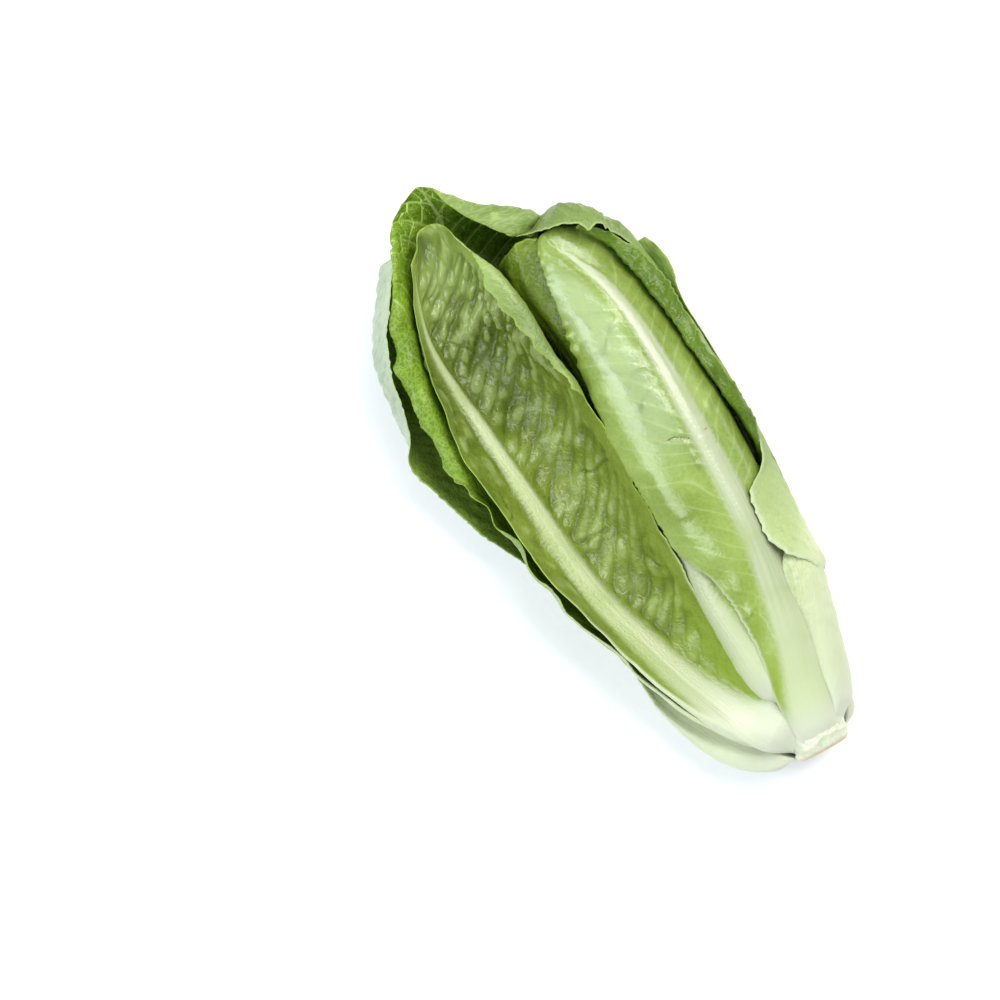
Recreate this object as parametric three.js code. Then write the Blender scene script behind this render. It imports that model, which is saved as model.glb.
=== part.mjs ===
// A romaine lettuce head lying on its side: a short cut stem with fourteen long leaves wrapped round it.
// Millimetres, +Z up. The head's long axis runs along +Y, from the cut stem to the leaf tips.
// A leaf is one closed blade with a thick midrib on its outer side. Its inner side is the one that faced
// the stem's axis as the leaf grew.
import * as THREE from "three";

// ---- driving dimensions ----
const HEAD_LENGTH = 298; // cut face to the furthest leaf tip
const STEM_RADIUS = 12.5; // at the cut
const STEM_LENGTH = 54; // cut face to the growing tip inside the heart
const HEART_RADIUS = 26.5; // the wrapped heart at its thickest
const GROWTH_GAP = 0.35; // clearance where a leaf's foot sits on the stem
const BLADE = 1.0; // blade thickness
const PRESSED = 0.35; // an outer face lower than this lies on the table
const RIB_FADE = 0.45; // share of a leaf's length over which its midrib thins to a third

const LEAF_GREEN = { color: 0x6f9a33, roughness: 0.5, metalness: 0 };
const HEART_GREEN = { color: 0xa9c46c, roughness: 0.45, metalness: 0 };
const STEM_WHITE = { color: 0xe6ead2, roughness: 0.6, metalness: 0 };

const radians = THREE.MathUtils.degToRad;

// Straight-line interpolation in a list of [position, value] pairs.
function along(pairs, y) {
  if (y <= pairs[0][0]) return pairs[0][1];
  for (let i = 1; i < pairs.length; i++) {
    const [y0, v0] = pairs[i - 1];
    const [y1, v1] = pairs[i];
    if (y <= y1) return v0 + ((v1 - v0) * (y - y0)) / (y1 - y0);
  }
  return pairs[pairs.length - 1][1];
}

// ---- the head's axis, and the heart's thickness along it as a share of its greatest ----
const AXIS_X = [[0, -2.5], [50, 3.5], [100, 6], [150, 5.5], [200, 4], [230, 2], [250, -1],
[HEAD_LENGTH, -6]];
const AXIS_Z = [[0, 22.5], [50, 33], [100, 38], [150, 38.8], [200, 38.5], [250, 37.7], [HEAD_LENGTH, 36]];
const SWELL = [
  [0, 0.42], [30, 0.55], [50, 0.68], [75, 0.79], [100, 0.89], [125, 0.95],
  [150, 1], [170, 1], [200, 0.96], [225, 0.88], [240, 0.81], [250, 0.74], [260, 0.62],
];
const STEM_PROFILE = [
  [0, STEM_RADIUS],
  [10, STEM_RADIUS * 1.06],
  [28, STEM_RADIUS * 0.78],
  [44, STEM_RADIUS * 0.45],
  [STEM_LENGTH, 1.5],
];

// A point at an angle round the head's axis: 0 degrees is +X, 90 is up.
function polar(y, degrees, r) {
  const a = radians(degrees);
  return [along(AXIS_X, y) + r * Math.cos(a), y, along(AXIS_Z, y) + r * Math.sin(a)];
}

// Radius, at y, of a leaf wrapped round the heart: full is its radius at the heart's thickest, and foot
// the height at which it leaves the stem. Leaves outside the heart keep their distance from it.
const footRadius = (foot) => along(STEM_PROFILE, foot) + BLADE / 2 + GROWTH_GAP;
function wrapRadius(y, foot, full, flare = 16) {
  const swell = along(SWELL, y);
  const open = full > HEART_RADIUS ? HEART_RADIUS * swell + full - HEART_RADIUS : full * swell;
  const start = footRadius(foot);
  return start + (open - start) * (1 - Math.exp(-(y - foot) / flare));
}

// ---- rows of points: a leaf is a net of rows from its foot to its tip, each from margin to margin ----
const footRow = (y, angles) => angles.map((a) => polar(y, a, footRadius(y)));
const ring = (y, radii, angles) => angles.map((a, i) => polar(y, a, Array.isArray(radii) ? radii[i] : radii));
const section = (y, points) => points.map(([x, z]) => [x, y, z]);

// A leaf hidden inside the heart: azimuth of its midrib, foot, full radius, tip, its half-spans in degrees
// at foot, middle and tip, and how far its middle swells out between its neighbours.
function innerNet({ azimuth, foot, full, tip, spans, swell = 0 }) {
  const steps = 6;
  const across = [-1, -0.6, -0.2, 0.2, 0.6, 1];
  const cornerDrop = 14;
  const net = [];
  for (let i = 0; i <= steps; i++) {
    const t = i / steps;
    const share = Math.pow(t, 1.15);
    const span = along([[0, spans[0]], [0.45, spans[1]], [0.8, spans[1]], [1, spans[2]]], share);
    net.push(
      across.map((s) => {
        const y = foot + (tip - foot) * share - cornerDrop * Math.pow(Math.abs(s), 2.4) * Math.pow(t, 3);
        const middle = Math.pow(Math.cos((s * Math.PI) / 2), 2);
        const out = swell * middle * Math.sin(Math.PI * Math.min(1, t * 1.1));
        const close = 1 - 0.1 * Math.pow(t, 6);
        return polar(y, azimuth + s * span, (wrapRadius(y, foot, full) + out) * close);
      }),
    );
  }
  return net;
}

// ---- smooth surface through a net ----
function spline(p0, p1, p2, p3, t) {
  return p1.map((_, k) => {
    const b = p2[k] - p0[k];
    const c = 2 * p0[k] - 5 * p1[k] + 4 * p2[k] - p3[k];
    const d = -p0[k] + 3 * p1[k] - 3 * p2[k] + p3[k];
    return 0.5 * (2 * p1[k] + b * t + c * t * t + d * t * t * t);
  });
}
function curveAt(points, u) {
  const i = Math.min(Math.floor(u), points.length - 2);
  const at = (j) => points[Math.max(0, Math.min(points.length - 1, j))];
  return spline(at(i - 1), at(i), at(i + 1), at(i + 2), u - i);
}
const surfaceAt = (net, u, v) => curveAt(net.map((row) => curveAt(row, u)), v);

// ---- a leaf's solid: the net's surface, thickened, with midrib, quilted blade and waved margins ----
// rib is the midrib's place in a row, ribHeight and ribWidth its height and half-width at the foot.
// quilt is the depth of the pillows between the side veins, ruffle the swing of the margins.
function leafGeometry({ net, rib, ribHeight, ribWidth, quilt = 0, ruffle = 0.5, columns, rows }) {
  const lastU = net[0].length - 1;
  const lastV = net.length - 1;
  const grid = [];
  for (let j = 0; j <= rows; j++) {
    const row = [];
    for (let i = 0; i <= columns; i++) {
      row.push(new THREE.Vector3(...surfaceAt(net, (lastU * i) / columns, (lastV * j) / rows)));
    }
    grid.push(row);
  }
  const directions = (j, i) => {
    const across = grid[j][Math.min(columns, i + 1)].clone().sub(grid[j][Math.max(0, i - 1)]).normalize();
    const up = grid[Math.min(rows, j + 1)][i].clone().sub(grid[Math.max(0, j - 1)][i]);
    return { across, normal: across.clone().cross(up).normalize() };
  };
  const inner = [];
  const outer = [];
  for (let j = 0; j <= rows; j++) {
    const t = j / rows;
    const height = ribHeight * Math.exp(-t / RIB_FADE);
    const halfWidth = ribWidth * Math.exp(-t / RIB_FADE) + 1.5;
    const ribPoint = new THREE.Vector3(...surfaceAt(net, rib, lastV * t));
    for (let i = 0; i <= columns; i++) {
      const { across, normal } = directions(j, i);
      const side = (2 * i) / columns - 1;
      const free = Math.pow(Math.abs(side), 6) * Math.min(1, t * 2.5);
      const wave = ruffle * free * Math.sin(5.2 * j + 1.7 * Math.sign(side));
      const notch = 1.2 * ruffle * free * Math.cos(3.1 * j) * Math.sign(side);
      const fromRib = grid[j][i].distanceTo(ribPoint);
      const depth = quilt * Math.min(1, t * 3) * Math.min(1, fromRib / 10) * (1 - Math.abs(side));
      const pillow = depth * Math.sin(2.3 * j) * Math.cos(1.3 * i);
      const p = grid[j][i].clone().addScaledVector(normal, wave + pillow);
      p.addScaledVector(across, notch);
      const ridge = height * Math.exp(-Math.pow(fromRib / halfWidth, 2));
      inner.push(p.clone().addScaledVector(normal, BLADE / 2));
      outer.push(p.clone().addScaledVector(normal, -BLADE / 2 - ridge));
    }
  }
  // What reaches the table is pressed flat on it.
  for (const p of outer) p.z = p.z < PRESSED ? 0 : p.z;
  for (const p of inner) p.z = Math.max(p.z, PRESSED + BLADE);

  const index = [];
  const at = (layer, j, i) => layer * (rows + 1) * (columns + 1) + j * (columns + 1) + i;
  const strip = (a, b, c, d) => index.push(a, b, c, a, c, d);
  for (let j = 0; j < rows; j++) {
    for (let i = 0; i < columns; i++) {
      strip(at(0, j, i), at(0, j, i + 1), at(0, j + 1, i + 1), at(0, j + 1, i));
      index.push(at(1, j, i), at(1, j + 1, i + 1), at(1, j, i + 1));
      index.push(at(1, j, i), at(1, j + 1, i), at(1, j + 1, i + 1));
    }
    strip(at(1, j, 0), at(0, j, 0), at(0, j + 1, 0), at(1, j + 1, 0));
    strip(at(0, j, columns), at(1, j, columns), at(1, j + 1, columns), at(0, j + 1, columns));
  }
  for (let i = 0; i < columns; i++) {
    strip(at(0, 0, i), at(1, 0, i), at(1, 0, i + 1), at(0, 0, i + 1));
    strip(at(1, rows, i), at(0, rows, i), at(0, rows, i + 1), at(1, rows, i + 1));
  }
  const geometry = new THREE.BufferGeometry();
  const positions = [...inner, ...outer].flatMap((p) => [p.x, p.y, p.z]);
  geometry.setAttribute("position", new THREE.Float32BufferAttribute(positions, 3));
  geometry.setIndex(index);
  geometry.computeVertexNormals();
  return geometry;
}

// ---- the leaves that show, outermost first ----

// Lowest left leaf: lies on the table with its left margin turned up.
const leftUnder = [
  footRow(2, [178, 192, 208, 224, 238, 250]),
  section(9, [[-33, 27], [-33, 21], [-31, 14], [-26, 8.5], [-18.5, 5], [-8, 4.2]]),
  section(22, [[-46, 29], [-46, 21], [-41, 12], [-32, 5.5], [-20, 2], [-5, 1.5]]),
  section(50, [[-57, 27], [-55, 18], [-48, 9.5], [-37, 3.5], [-22, 0.5], [0, 0.5]]),
  section(85, [[-62, 18], [-58, 11], [-50, 5.5], [-38, 1.8], [-20, 0.5], [7, 0.5]]),
  section(120, [[-73, 22], [-67, 13], [-57, 6], [-40, 1.2], [-16, 0.5], [11, 0.5]]),
  section(152, [[-87, 27], [-76, 15], [-62, 6], [-41, 1.2], [-14, 0.5], [13, 0.5]]),
  section(190, [[-101, 28], [-86, 16], [-68, 7], [-43, 1.2], [-16, 0.5], [11, 0.5]]),
  section(218, [[-95, 34], [-86, 20], [-71, 9], [-47, 2], [-22, 0.5], [5, 0.8]]),
  [[-87, 243, 38], [-81, 247, 26], [-69, 249, 14], [-50, 249, 7], [-29, 246, 3.5], [-5, 239, 3]],
  [[-72, 265, 42], [-69, 271, 34], [-62, 275, 26], [-50, 275, 18], [-34, 270, 11], [-14, 258, 7]],
];

// Left outer leaf: cups the open leaf from below. Its left margin turns out in a lip, and its tip's right
// side folds over.
const leftOuter = [
  footRow(6, [150, 162, 176, 190, 205, 220, 234, 244, 252]),
  ring(12, 21.2, [150, 162, 176, 190, 205, 220, 234, 244, 252]),
  section(20, [
    [-29, 32.5], [-30, 29], [-29.5, 23.5], [-27.5, 17.5], [-24, 13], [-19.5, 10], [-15.5, 8.5],
    [-12.5, 8], [-10, 8],
  ]),
  section(32, [
    [-40, 37.5], [-41, 33.5], [-39.5, 27], [-35, 18.5], [-29, 13], [-23, 10], [-18.5, 8.5],
    [-15, 8], [-12, 8],
  ]),
  section(50, [
    [-50, 40], [-51, 36], [-49, 29], [-43, 19], [-35, 12.5], [-27, 9.5], [-21, 8], [-16.5, 7.5], [-13, 7.5],
  ]),
  section(85, [
    [-63, 40], [-64, 35], [-61, 27], [-53, 17], [-43, 11], [-32, 8], [-24, 6.5], [-18, 6], [-13, 6],
  ]),
  section(120, [
    [-72, 39], [-73, 34], [-70, 26], [-60, 15.5], [-47, 9.5], [-34, 7], [-25, 6], [-18, 5.5], [-13, 5.5],
  ]),
  section(152, [
    [-77, 40], [-78.5, 36], [-76, 27], [-65, 15.5], [-50, 9.5], [-35, 7], [-25, 6], [-18, 5.5], [-13, 5.5],
  ]),
  section(170, [
    [-80, 40], [-80, 39.5], [-77.5, 33], [-67, 17.5], [-51, 10], [-35, 7.5], [-25, 6.5], [-18, 6], [-13, 6],
  ]),
  section(182, [
    [-88, 37.5], [-84, 42.5], [-79, 40], [-69, 20], [-52, 11], [-35, 7.5], [-25, 6.5], [-18, 6], [-13, 6],
  ]),
  section(213, [
    [-89, 39], [-84.5, 46], [-78, 43.5], [-71.5, 23], [-54, 13], [-37, 9], [-26, 8], [-19, 8], [-13, 8],
  ]),
  section(236, [
    [-84, 42], [-80, 48], [-74, 46.5], [-68.5, 28], [-54, 17], [-38, 11.5], [-27, 10], [-19, 9.5],
    [-13, 9.5],
  ]),
  [
    [-76, 256, 46.5], [-73, 258, 50.5], [-68.5, 259, 49], [-63, 260, 39], [-52, 262, 27],
    [-37, 262, 18], [-24, 260, 13], [-14, 257, 15], [-10, 256, 20],
  ],
  [
    [-68.5, 267, 49], [-66.5, 269, 51], [-63.5, 270, 50], [-59, 272, 42], [-50, 275, 31],
    [-37, 275, 24.5], [-22, 271, 25], [-5, 265.5, 42], [-18, 260, 47],
  ],
  [
    [-62.5, 277, 50.5], [-61.5, 279, 51.5], [-59, 280.5, 50.5], [-55, 283, 45], [-47.5, 285.5, 38.5],
    [-37, 286, 34], [-25.5, 282.5, 38], [-14, 277, 49], [-25, 276.5, 52.5],
  ],
  [
    [-59.5, 285, 51.5], [-57.5, 287.5, 51], [-54.5, 289.5, 49.5], [-50.5, 292, 46.5], [-45, 294, 43.5],
    [-38, 294.5, 41.5], [-31, 292, 43], [-25.5, 287.5, 49], [-30, 286.5, 52],
  ],
  [
    [-55, 290, 51], [-52, 291.8, 50], [-49, 293.3, 48.5], [-46, 295, 47], [-42.5, 296.7, 46],
    [-39.5, 297.5, 45.5], [-36.5, 296, 46.5], [-33.5, 293.5, 49.5], [-35, 292.5, 51.5],
  ],
];

// Open leaf: a channel that shows its inner side. Its right half climbs the heart's flank to a ridge, and
// from half-way up its margin falls back over the channel.
const openLeaf = [
  footRow(12, [135, 152, 168, 183, 197, 211, 225, 238, 249]),
  ring(20, [25.5, 24.5, 23, 21.5, 20.3, 19.4, 18.6, 17.9, 17.3],
  [151, 162, 174, 186, 197, 206, 213, 218, 220]),
  section(30, [
    [-36, 39], [-35, 32.5], [-31.5, 26], [-27, 21.5], [-23.6, 18.3], [-21.2, 17], [-19.4, 18.2],
    [-18.5, 21.7], [-17.9, 26],
  ]),
  section(50, [
    [-47, 43], [-45, 35], [-41, 28.5], [-36, 24], [-31, 22], [-26.3, 22.5], [-22.8, 26],
    [-20.7, 32], [-19.6, 38.5],
  ]),
  section(80, [
    [-59.5, 46], [-57.5, 37.5], [-53.5, 30], [-47, 25], [-39, 22], [-31.5, 24], [-26.2, 30],
    [-22, 38], [-19.8, 46],
  ]),
  section(115, [
    [-70, 47], [-67, 38], [-62, 30.5], [-55, 25], [-46, 22], [-37, 23.5], [-29.2, 31],
    [-23.6, 42], [-20.2, 52],
  ]),
  section(150, [
    [-75, 48], [-71, 39.5], [-65.5, 32], [-58, 26], [-48, 22.5], [-38, 24], [-28.7, 33],
    [-22.4, 46], [-18.4, 55],
  ]),
  section(170, [
    [-77, 49], [-73.5, 40.5], [-67.5, 32.5], [-59, 26.5], [-48.5, 23], [-37.5, 25.5], [-28, 36],
    [-21.6, 51], [-19, 59],
  ]),
  section(190, [
    [-78, 50], [-75, 41.5], [-69.5, 33.5], [-60, 28], [-49, 24.5], [-37.5, 28.5], [-27.5, 41],
    [-21, 58.5], [-27, 61.5],
  ]),
  section(213, [
    [-76, 50], [-74, 42], [-70, 34], [-62, 29], [-50, 26], [-38, 31.5], [-28.5, 44],
    [-22.3, 59.5], [-33, 61.5],
  ]),
  section(235, [
    [-70.5, 50], [-70, 43], [-68, 36.5], [-61, 31], [-51, 29], [-41, 34], [-32, 46],
    [-24.8, 60.5], [-37, 61.5],
  ]),
  section(255, [
    [-64.5, 51], [-63.5, 45.5], [-61.5, 40], [-56, 36], [-49, 35.5], [-42, 40], [-36, 49],
    [-29, 60], [-37.5, 61.5],
  ]),
  [
    [-60, 268, 51], [-58, 272, 49.5], [-55, 275.5, 48.5], [-50, 278.5, 48], [-44.5, 280, 48.5],
    [-40, 278.5, 50.5], [-37.5, 275.5, 53.5], [-35.3, 271.5, 58], [-37.2, 268.5, 59.5],
  ],
];

// Right wrapping leaf: hugs the heart's right flank. It is torn a third of the way up, and above the tear
// its margin turns out in a long lip.
const rightWrapRow = (y, crest, edge, angles) => {
  const r = wrapRadius(y, 14, 30);
  return ring(y, [r, r, r, r, r, r + crest, r + edge], angles);
};
const rightWrap = [
  footRow(14, [-60, -36, -12, 8, 26, 38, 48]),
  ring(21, 15.5, [-61, -38, -15, 5, 22, 34, 43]),
  rightWrapRow(30, 0, 0, [-64, -42, -20, -2, 14, 27, 36]),
  rightWrapRow(60, 0, 0, [-70, -44, -16, 4, 20, 33, 44]),
  rightWrapRow(80, 0, 0, [-74, -46, -15, 6, 24, 37, 47]),
  rightWrapRow(91, 0, 0, [-75, -54, -34, -20, -8, 2, 10]),
  rightWrapRow(103, 0, 0, [-76, -63, -50, -40, -33, -28, -24]),
  rightWrapRow(116, 0, 0, [-77, -62, -48, -38, -31, -26, -22]),
  rightWrapRow(127, 2, 3, [-78, -50, -24, -6, 8, 12, 8]),
  rightWrapRow(143, 4, 7, [-78, -48, -20, 0, 15, 17, 9]),
  rightWrapRow(163, 4.5, 7.5, [-78, -46, -16, 8, 28, 27, 17]),
  rightWrapRow(183, 4.5, 7, [-78, -46, -15, 10, 31, 30, 22]),
  rightWrapRow(205, 4.3, 7, [-77, -46, -15, 10, 32, 32, 24]),
  rightWrapRow(223, 4, 6.5, [-74, -44, -13, 12, 36, 37, 30]),
  rightWrapRow(238, 3.7, 5.7, [-70, -42, -12, 14, 42, 45, 40]),
  [
    polar(236, -55, 21), polar(243, -28, 21.5), polar(247, 0, 22.8), polar(248.5, 30, 23.5),
    polar(248, 60, 24), polar(249.5, 64, 27), polar(249, 56, 29.5),
  ],
];

// Right hooded leaf: outside the wrapping leaf, with its tip curled up and over the heart's end.
const rightHoodRing = (y, angles) => ring(y, wrapRadius(y, 9, 33), angles);
const rightHood = [
  footRow(9, [272, 292, 314, 336, 354, 368]),
  ring(15, 17.2, [270, 291, 314, 336, 354, 368]),
  rightHoodRing(30, [265, 288, 314, 336, 354, 368]),
  rightHoodRing(60, [258, 285, 317, 341, 355, 366]),
  rightHoodRing(90, [256, 286, 318, 341, 353, 361]),
  rightHoodRing(120, [255, 286, 320, 342, 353, 361]),
  rightHoodRing(150, [255, 287, 322, 344, 357, 366]),
  rightHoodRing(180, [255, 287, 322, 345, 359, 371]),
  rightHoodRing(205, [255, 287, 322, 346, 361, 373]),
  [[-5, 222, 7.5], [6, 226, 7.5], [22, 228, 15], [31.5, 226, 26], [34, 222, 38.5], [33.5, 218, 47]],
  [[-4.5, 238, 9.5], [3, 243, 10.5], [17, 245.5, 18], [26.5, 243, 32.5], [29.5, 237, 45], [30.5, 231, 52]],
  [[-6, 250, 16], [0, 256, 20], [12, 256.5, 29], [21, 251.5, 42], [25.5, 245, 52.5], [26, 241, 58.5]],
  [[-3, 257, 31], [0, 260.5, 38.5], [7, 261, 47], [14.5, 258.5, 56], [19.5, 253, 62], [19.5, 250, 65.5]],
  [[-15, 257.5, 56.5], [-9, 258.5, 59.5], [-2, 259, 64], [5, 257.5, 67], [11, 254, 68.5],
  [15, 250.5, 69.5]],
];

// Lower right leaf: outermost below the right flank, with its tip flared out to the right.
const rightUnderRing = (y, angles) => ring(y, wrapRadius(y, 4, 36), angles);
const rightUnder = [
  footRow(4, [258, 280, 304, 324, 340]),
  ring(10, 19.2, [256, 280, 306, 326, 341]),
  rightUnderRing(26, [253, 280, 310, 330, 344]),
  rightUnderRing(60, [252, 281, 313, 333, 345]),
  rightUnderRing(100, [252, 282, 315, 333, 344]),
  rightUnderRing(140, [253, 283, 315, 334, 346]),
  rightUnderRing(175, [254, 284, 316, 335, 347]),
  rightUnderRing(200, [254, 284, 316, 336, 349]),
  [[-1, 215, 4.5], [13, 219, 5], [28, 222, 12], [37, 220.5, 24], [39.5, 215, 35]],
  [[7, 223, 6], [16, 229, 6.5], [26, 232, 12], [34, 231.5, 23], [38, 227, 33]],
];

// Heart leaf on top: closes the heart from above, with its midrib right of the middle.
const heartTop = [
  footRow(20, [2, 26, 52, 80, 104, 128, 150]),
  ring(33, [14.3, 14.3, 14.3, 14.3, 14.3, 15, 15.8], [-4, 22, 50, 79, 103, 124, 142]),
  ring(45, [16.5, 16.5, 16.5, 16.5, 16.5, 16.9, 17.5], [-8, 20, 46, 74, 97, 116, 133]),
  ring(60, wrapRadius(60, 20, HEART_RADIUS), [-10, 18, 44, 69, 93, 113, 131]),
  ring(78, wrapRadius(78, 20, HEART_RADIUS), [-14, 14, 40, 65, 90, 112, 132]),
  ring(95, [23.2, 23.2, 23.2, 23.2, 23.4, 23.8, 25], [-16, 12, 38, 63, 92, 118, 144]),
  ring(107, [24.3, 24.3, 24.3, 24.3, 24.3, 24.6, 26], [-18, 10, 36, 62, 95, 128, 160]),
  ring(130, 25.4, [-20, 10, 36, 62, 95, 128, 160]),
  ring(155, HEART_RADIUS, [-20, 9, 36, 62.5, 95, 128, 157]),
  ring(180, 26.2, [-20, 8, 36, 64, 94, 123, 149]),
  ring(205, 25.2, [-18, 8, 38, 67, 93, 119, 141]),
  ring(225, 23.3, [-14, 12, 44, 74, 92, 112, 131]),
  ring(240, 21.9, [-4, 24, 56, 84, 98, 110, 122]),
  [
    polar(239, 6, 20), polar(245.5, 34, 20.5), polar(249, 60, 21), polar(251, 87, 21.5),
    polar(250.5, 97, 21.5), polar(248.5, 107, 21.5), polar(244, 117, 21.5),
  ],
];

// Heart leaf on the left: its midrib shows low on the left, and its pleated top beside the top leaf.
const heartLeft = [
  footRow(25, [94, 112, 132, 153, 172, 192, 210]),
  ring(40, [13.2, 13.2, 13.6, 15.6, 15.8, 14.4, 13.6], [90, 110, 131, 154, 176, 198, 218]),
  ring(60, [15.8, 15.8, 16.6, 20.5, 20.6, 18, 16.2], [84, 106, 131, 155, 180, 205, 226]),
  ring(80, [18.6, 18.6, 19.2, 23, 22.4, 19.5, 18.8], [80, 104, 132, 157, 182, 207, 230]),
  ring(100, [20.3, 20.3, 20.5, 21.4, 21.4, 20.6, 20.3], [76, 102, 131, 157, 182, 208, 232]),
  ring(125, 22, [74, 100, 128, 154, 178, 204, 232]),
  ring(160, 23.1, [72, 98, 126, 152, 177, 204, 232]),
  ring(195, 22.3, [70, 96, 124, 150, 175, 202, 230]),
  ring(215, [20.7, 20.7, 21, 23.6, 23.8, 22.4, 21.4], [70, 95, 123, 148, 171, 198, 226]),
  ring(235, [19.2, 19.2, 20, 25.4, 27, 25, 22], [72, 98, 122, 145, 165, 192, 220]),
  [
    [4, 246, 53], [-2, 251, 54], [-8, 255, 55.5], [-14, 255.5, 55], [-20, 253.5, 52],
    [-25.5, 250.5, 47], [-25, 245, 38],
  ],
];

// Heart leaf underneath: closes the heart from below, between the flank leaves.
const heartUnderRing = (y, angles) => ring(y, wrapRadius(y, 17, 29.8), angles);
const heartUnder = [
  footRow(17, [204, 222, 241, 260, 280]),
  heartUnderRing(36, [204, 222, 241, 260, 279]),
  heartUnderRing(60, [203, 221, 240, 259, 278]),
  heartUnderRing(90, [202, 220, 240, 259, 277]),
  heartUnderRing(125, [202, 220, 240, 259, 276]),
  heartUnderRing(160, [203, 221, 240, 259, 275]),
  heartUnderRing(195, [206, 223, 241, 259, 275]),
  [
    polar(212, 214, 27), polar(220, 227, 26.5), polar(225, 241, 26), polar(222, 255, 26.3),
    polar(214, 269, 27),
  ],
];

// Midrib, relief and fineness of each leaf's solid.
const SHOWN_LEAVES = [
  {
    name: "leaf_left_under", net: leftUnder, finish: LEAF_GREEN, columns: 13, rows: 24,
    rib: 2, ribHeight: 4, ribWidth: 12, ruffle: 1, quilt: 0.5,
  },
  {
    name: "leaf_right_under", net: rightUnder, finish: LEAF_GREEN, columns: 9, rows: 20,
    rib: 2, ribHeight: 2.5, ribWidth: 11, ruffle: 0.5,
  },
  {
    name: "leaf_left_outer", net: leftOuter, finish: LEAF_GREEN, columns: 17, rows: 30,
    rib: 3.4, ribHeight: 3, ribWidth: 11, ruffle: 0.7,
  },
  {
    name: "leaf_right_hood", net: rightHood, finish: LEAF_GREEN, columns: 11, rows: 22,
    rib: 2, ribHeight: 1.4, ribWidth: 11, ruffle: 0.4,
  },
  {
    name: "leaf_right_wrap", net: rightWrap, finish: LEAF_GREEN, columns: 13, rows: 28,
    rib: 2, ribHeight: 1.2, ribWidth: 11, ruffle: 0.3,
  },
  {
    name: "leaf_open", net: openLeaf, finish: LEAF_GREEN, columns: 18, rows: 28,
    rib: 2.5, ribHeight: 3.5, ribWidth: 10, ruffle: 0.9, quilt: 0.9,
  },
  {
    name: "heart_leaf_under", net: heartUnder, finish: HEART_GREEN, columns: 9, rows: 14,
    rib: 2, ribHeight: 1, ribWidth: 9, ruffle: 0.3,
  },
  {
    name: "heart_leaf_top", net: heartTop, finish: HEART_GREEN, columns: 15, rows: 26,
    rib: 3, ribHeight: 1.5, ribWidth: 9, ruffle: 0.3, quilt: 0.5,
  },
  {
    name: "heart_leaf_left", net: heartLeft, finish: HEART_GREEN, columns: 12, rows: 22,
    rib: 3, ribHeight: 0.9, ribWidth: 6, ruffle: 0.3, quilt: 0.3,
  },
];
const INNER_LEAVES = [
  { azimuth: 318, foot: 28, full: 20.2, tip: 238, spans: [60, 86, 66], swell: 4 },
  { azimuth: 165, foot: 33, full: 17, tip: 232, spans: [62, 88, 70], swell: 0.5 },
  { azimuth: 20, foot: 38, full: 13.8, tip: 224, spans: [64, 92, 70] },
  { azimuth: 250, foot: 43, full: 10.6, tip: 212, spans: [64, 95, 70] },
  { azimuth: 120, foot: 48, full: 7.4, tip: 198, spans: [64, 100, 70] },
];

const head = new THREE.Group();
function add(name, geometry, finish) {
  const mesh = new THREE.Mesh(geometry, new THREE.MeshStandardMaterial(finish));
  mesh.name = name;
  head.add(mesh);
}

// ---- the cut stem: a tapered core with a flat cut face, bent to follow the head's axis ----
function stemGeometry() {
  const outline = STEM_PROFILE.map(([y, r]) => new THREE.Vector2(r, y));
  outline.unshift(new THREE.Vector2(0, 0));
  outline.push(new THREE.Vector2(0, STEM_LENGTH + 1.5));
  const stem = new THREE.LatheGeometry(outline, 28);
  const points = stem.getAttribute("position");
  for (let i = 0; i < points.count; i++) {
    const y = points.getY(i);
    points.setXYZ(i, points.getX(i) + along(AXIS_X, y), y, points.getZ(i) + along(AXIS_Z, y));
  }
  return stem;
}
add("stem", stemGeometry(), STEM_WHITE);
for (const leaf of SHOWN_LEAVES) add(leaf.name, leafGeometry(leaf), leaf.finish);
INNER_LEAVES.forEach((leaf, i) => {
  const relief = { rib: 2.5, ribHeight: 0.7, ribWidth: 6, ruffle: 0.2, columns: 9, rows: 14 };
  add(`inner_leaf_${i + 1}`, leafGeometry({ net: innerNet(leaf), ...relief }), HEART_GREEN);
});

// The origin is under the middle of the head, on the table.
const box = new THREE.Box3().setFromObject(head);
const middle = box.getCenter(new THREE.Vector3());
for (const mesh of head.children) mesh.geometry.translate(-middle.x, -middle.y, 0);

export default head;
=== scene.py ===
"""The looks of a romaine lettuce head that lies on its side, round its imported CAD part."""
import math
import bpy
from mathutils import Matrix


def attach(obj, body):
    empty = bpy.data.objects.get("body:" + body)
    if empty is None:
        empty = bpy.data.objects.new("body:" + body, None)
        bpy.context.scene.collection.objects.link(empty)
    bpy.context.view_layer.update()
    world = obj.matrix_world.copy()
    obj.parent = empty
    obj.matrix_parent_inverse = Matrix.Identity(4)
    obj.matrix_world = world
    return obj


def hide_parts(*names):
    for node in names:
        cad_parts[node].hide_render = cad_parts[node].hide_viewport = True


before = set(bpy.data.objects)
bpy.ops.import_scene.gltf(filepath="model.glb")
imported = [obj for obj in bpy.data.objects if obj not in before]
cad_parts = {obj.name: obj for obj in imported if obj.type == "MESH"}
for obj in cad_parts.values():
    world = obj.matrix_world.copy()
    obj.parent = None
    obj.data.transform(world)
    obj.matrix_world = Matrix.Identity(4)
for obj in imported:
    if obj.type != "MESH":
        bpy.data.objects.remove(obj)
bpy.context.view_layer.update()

from types import SimpleNamespace

import bpy
import numpy as np
from mathutils import Vector

scene = bpy.context.scene

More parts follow.
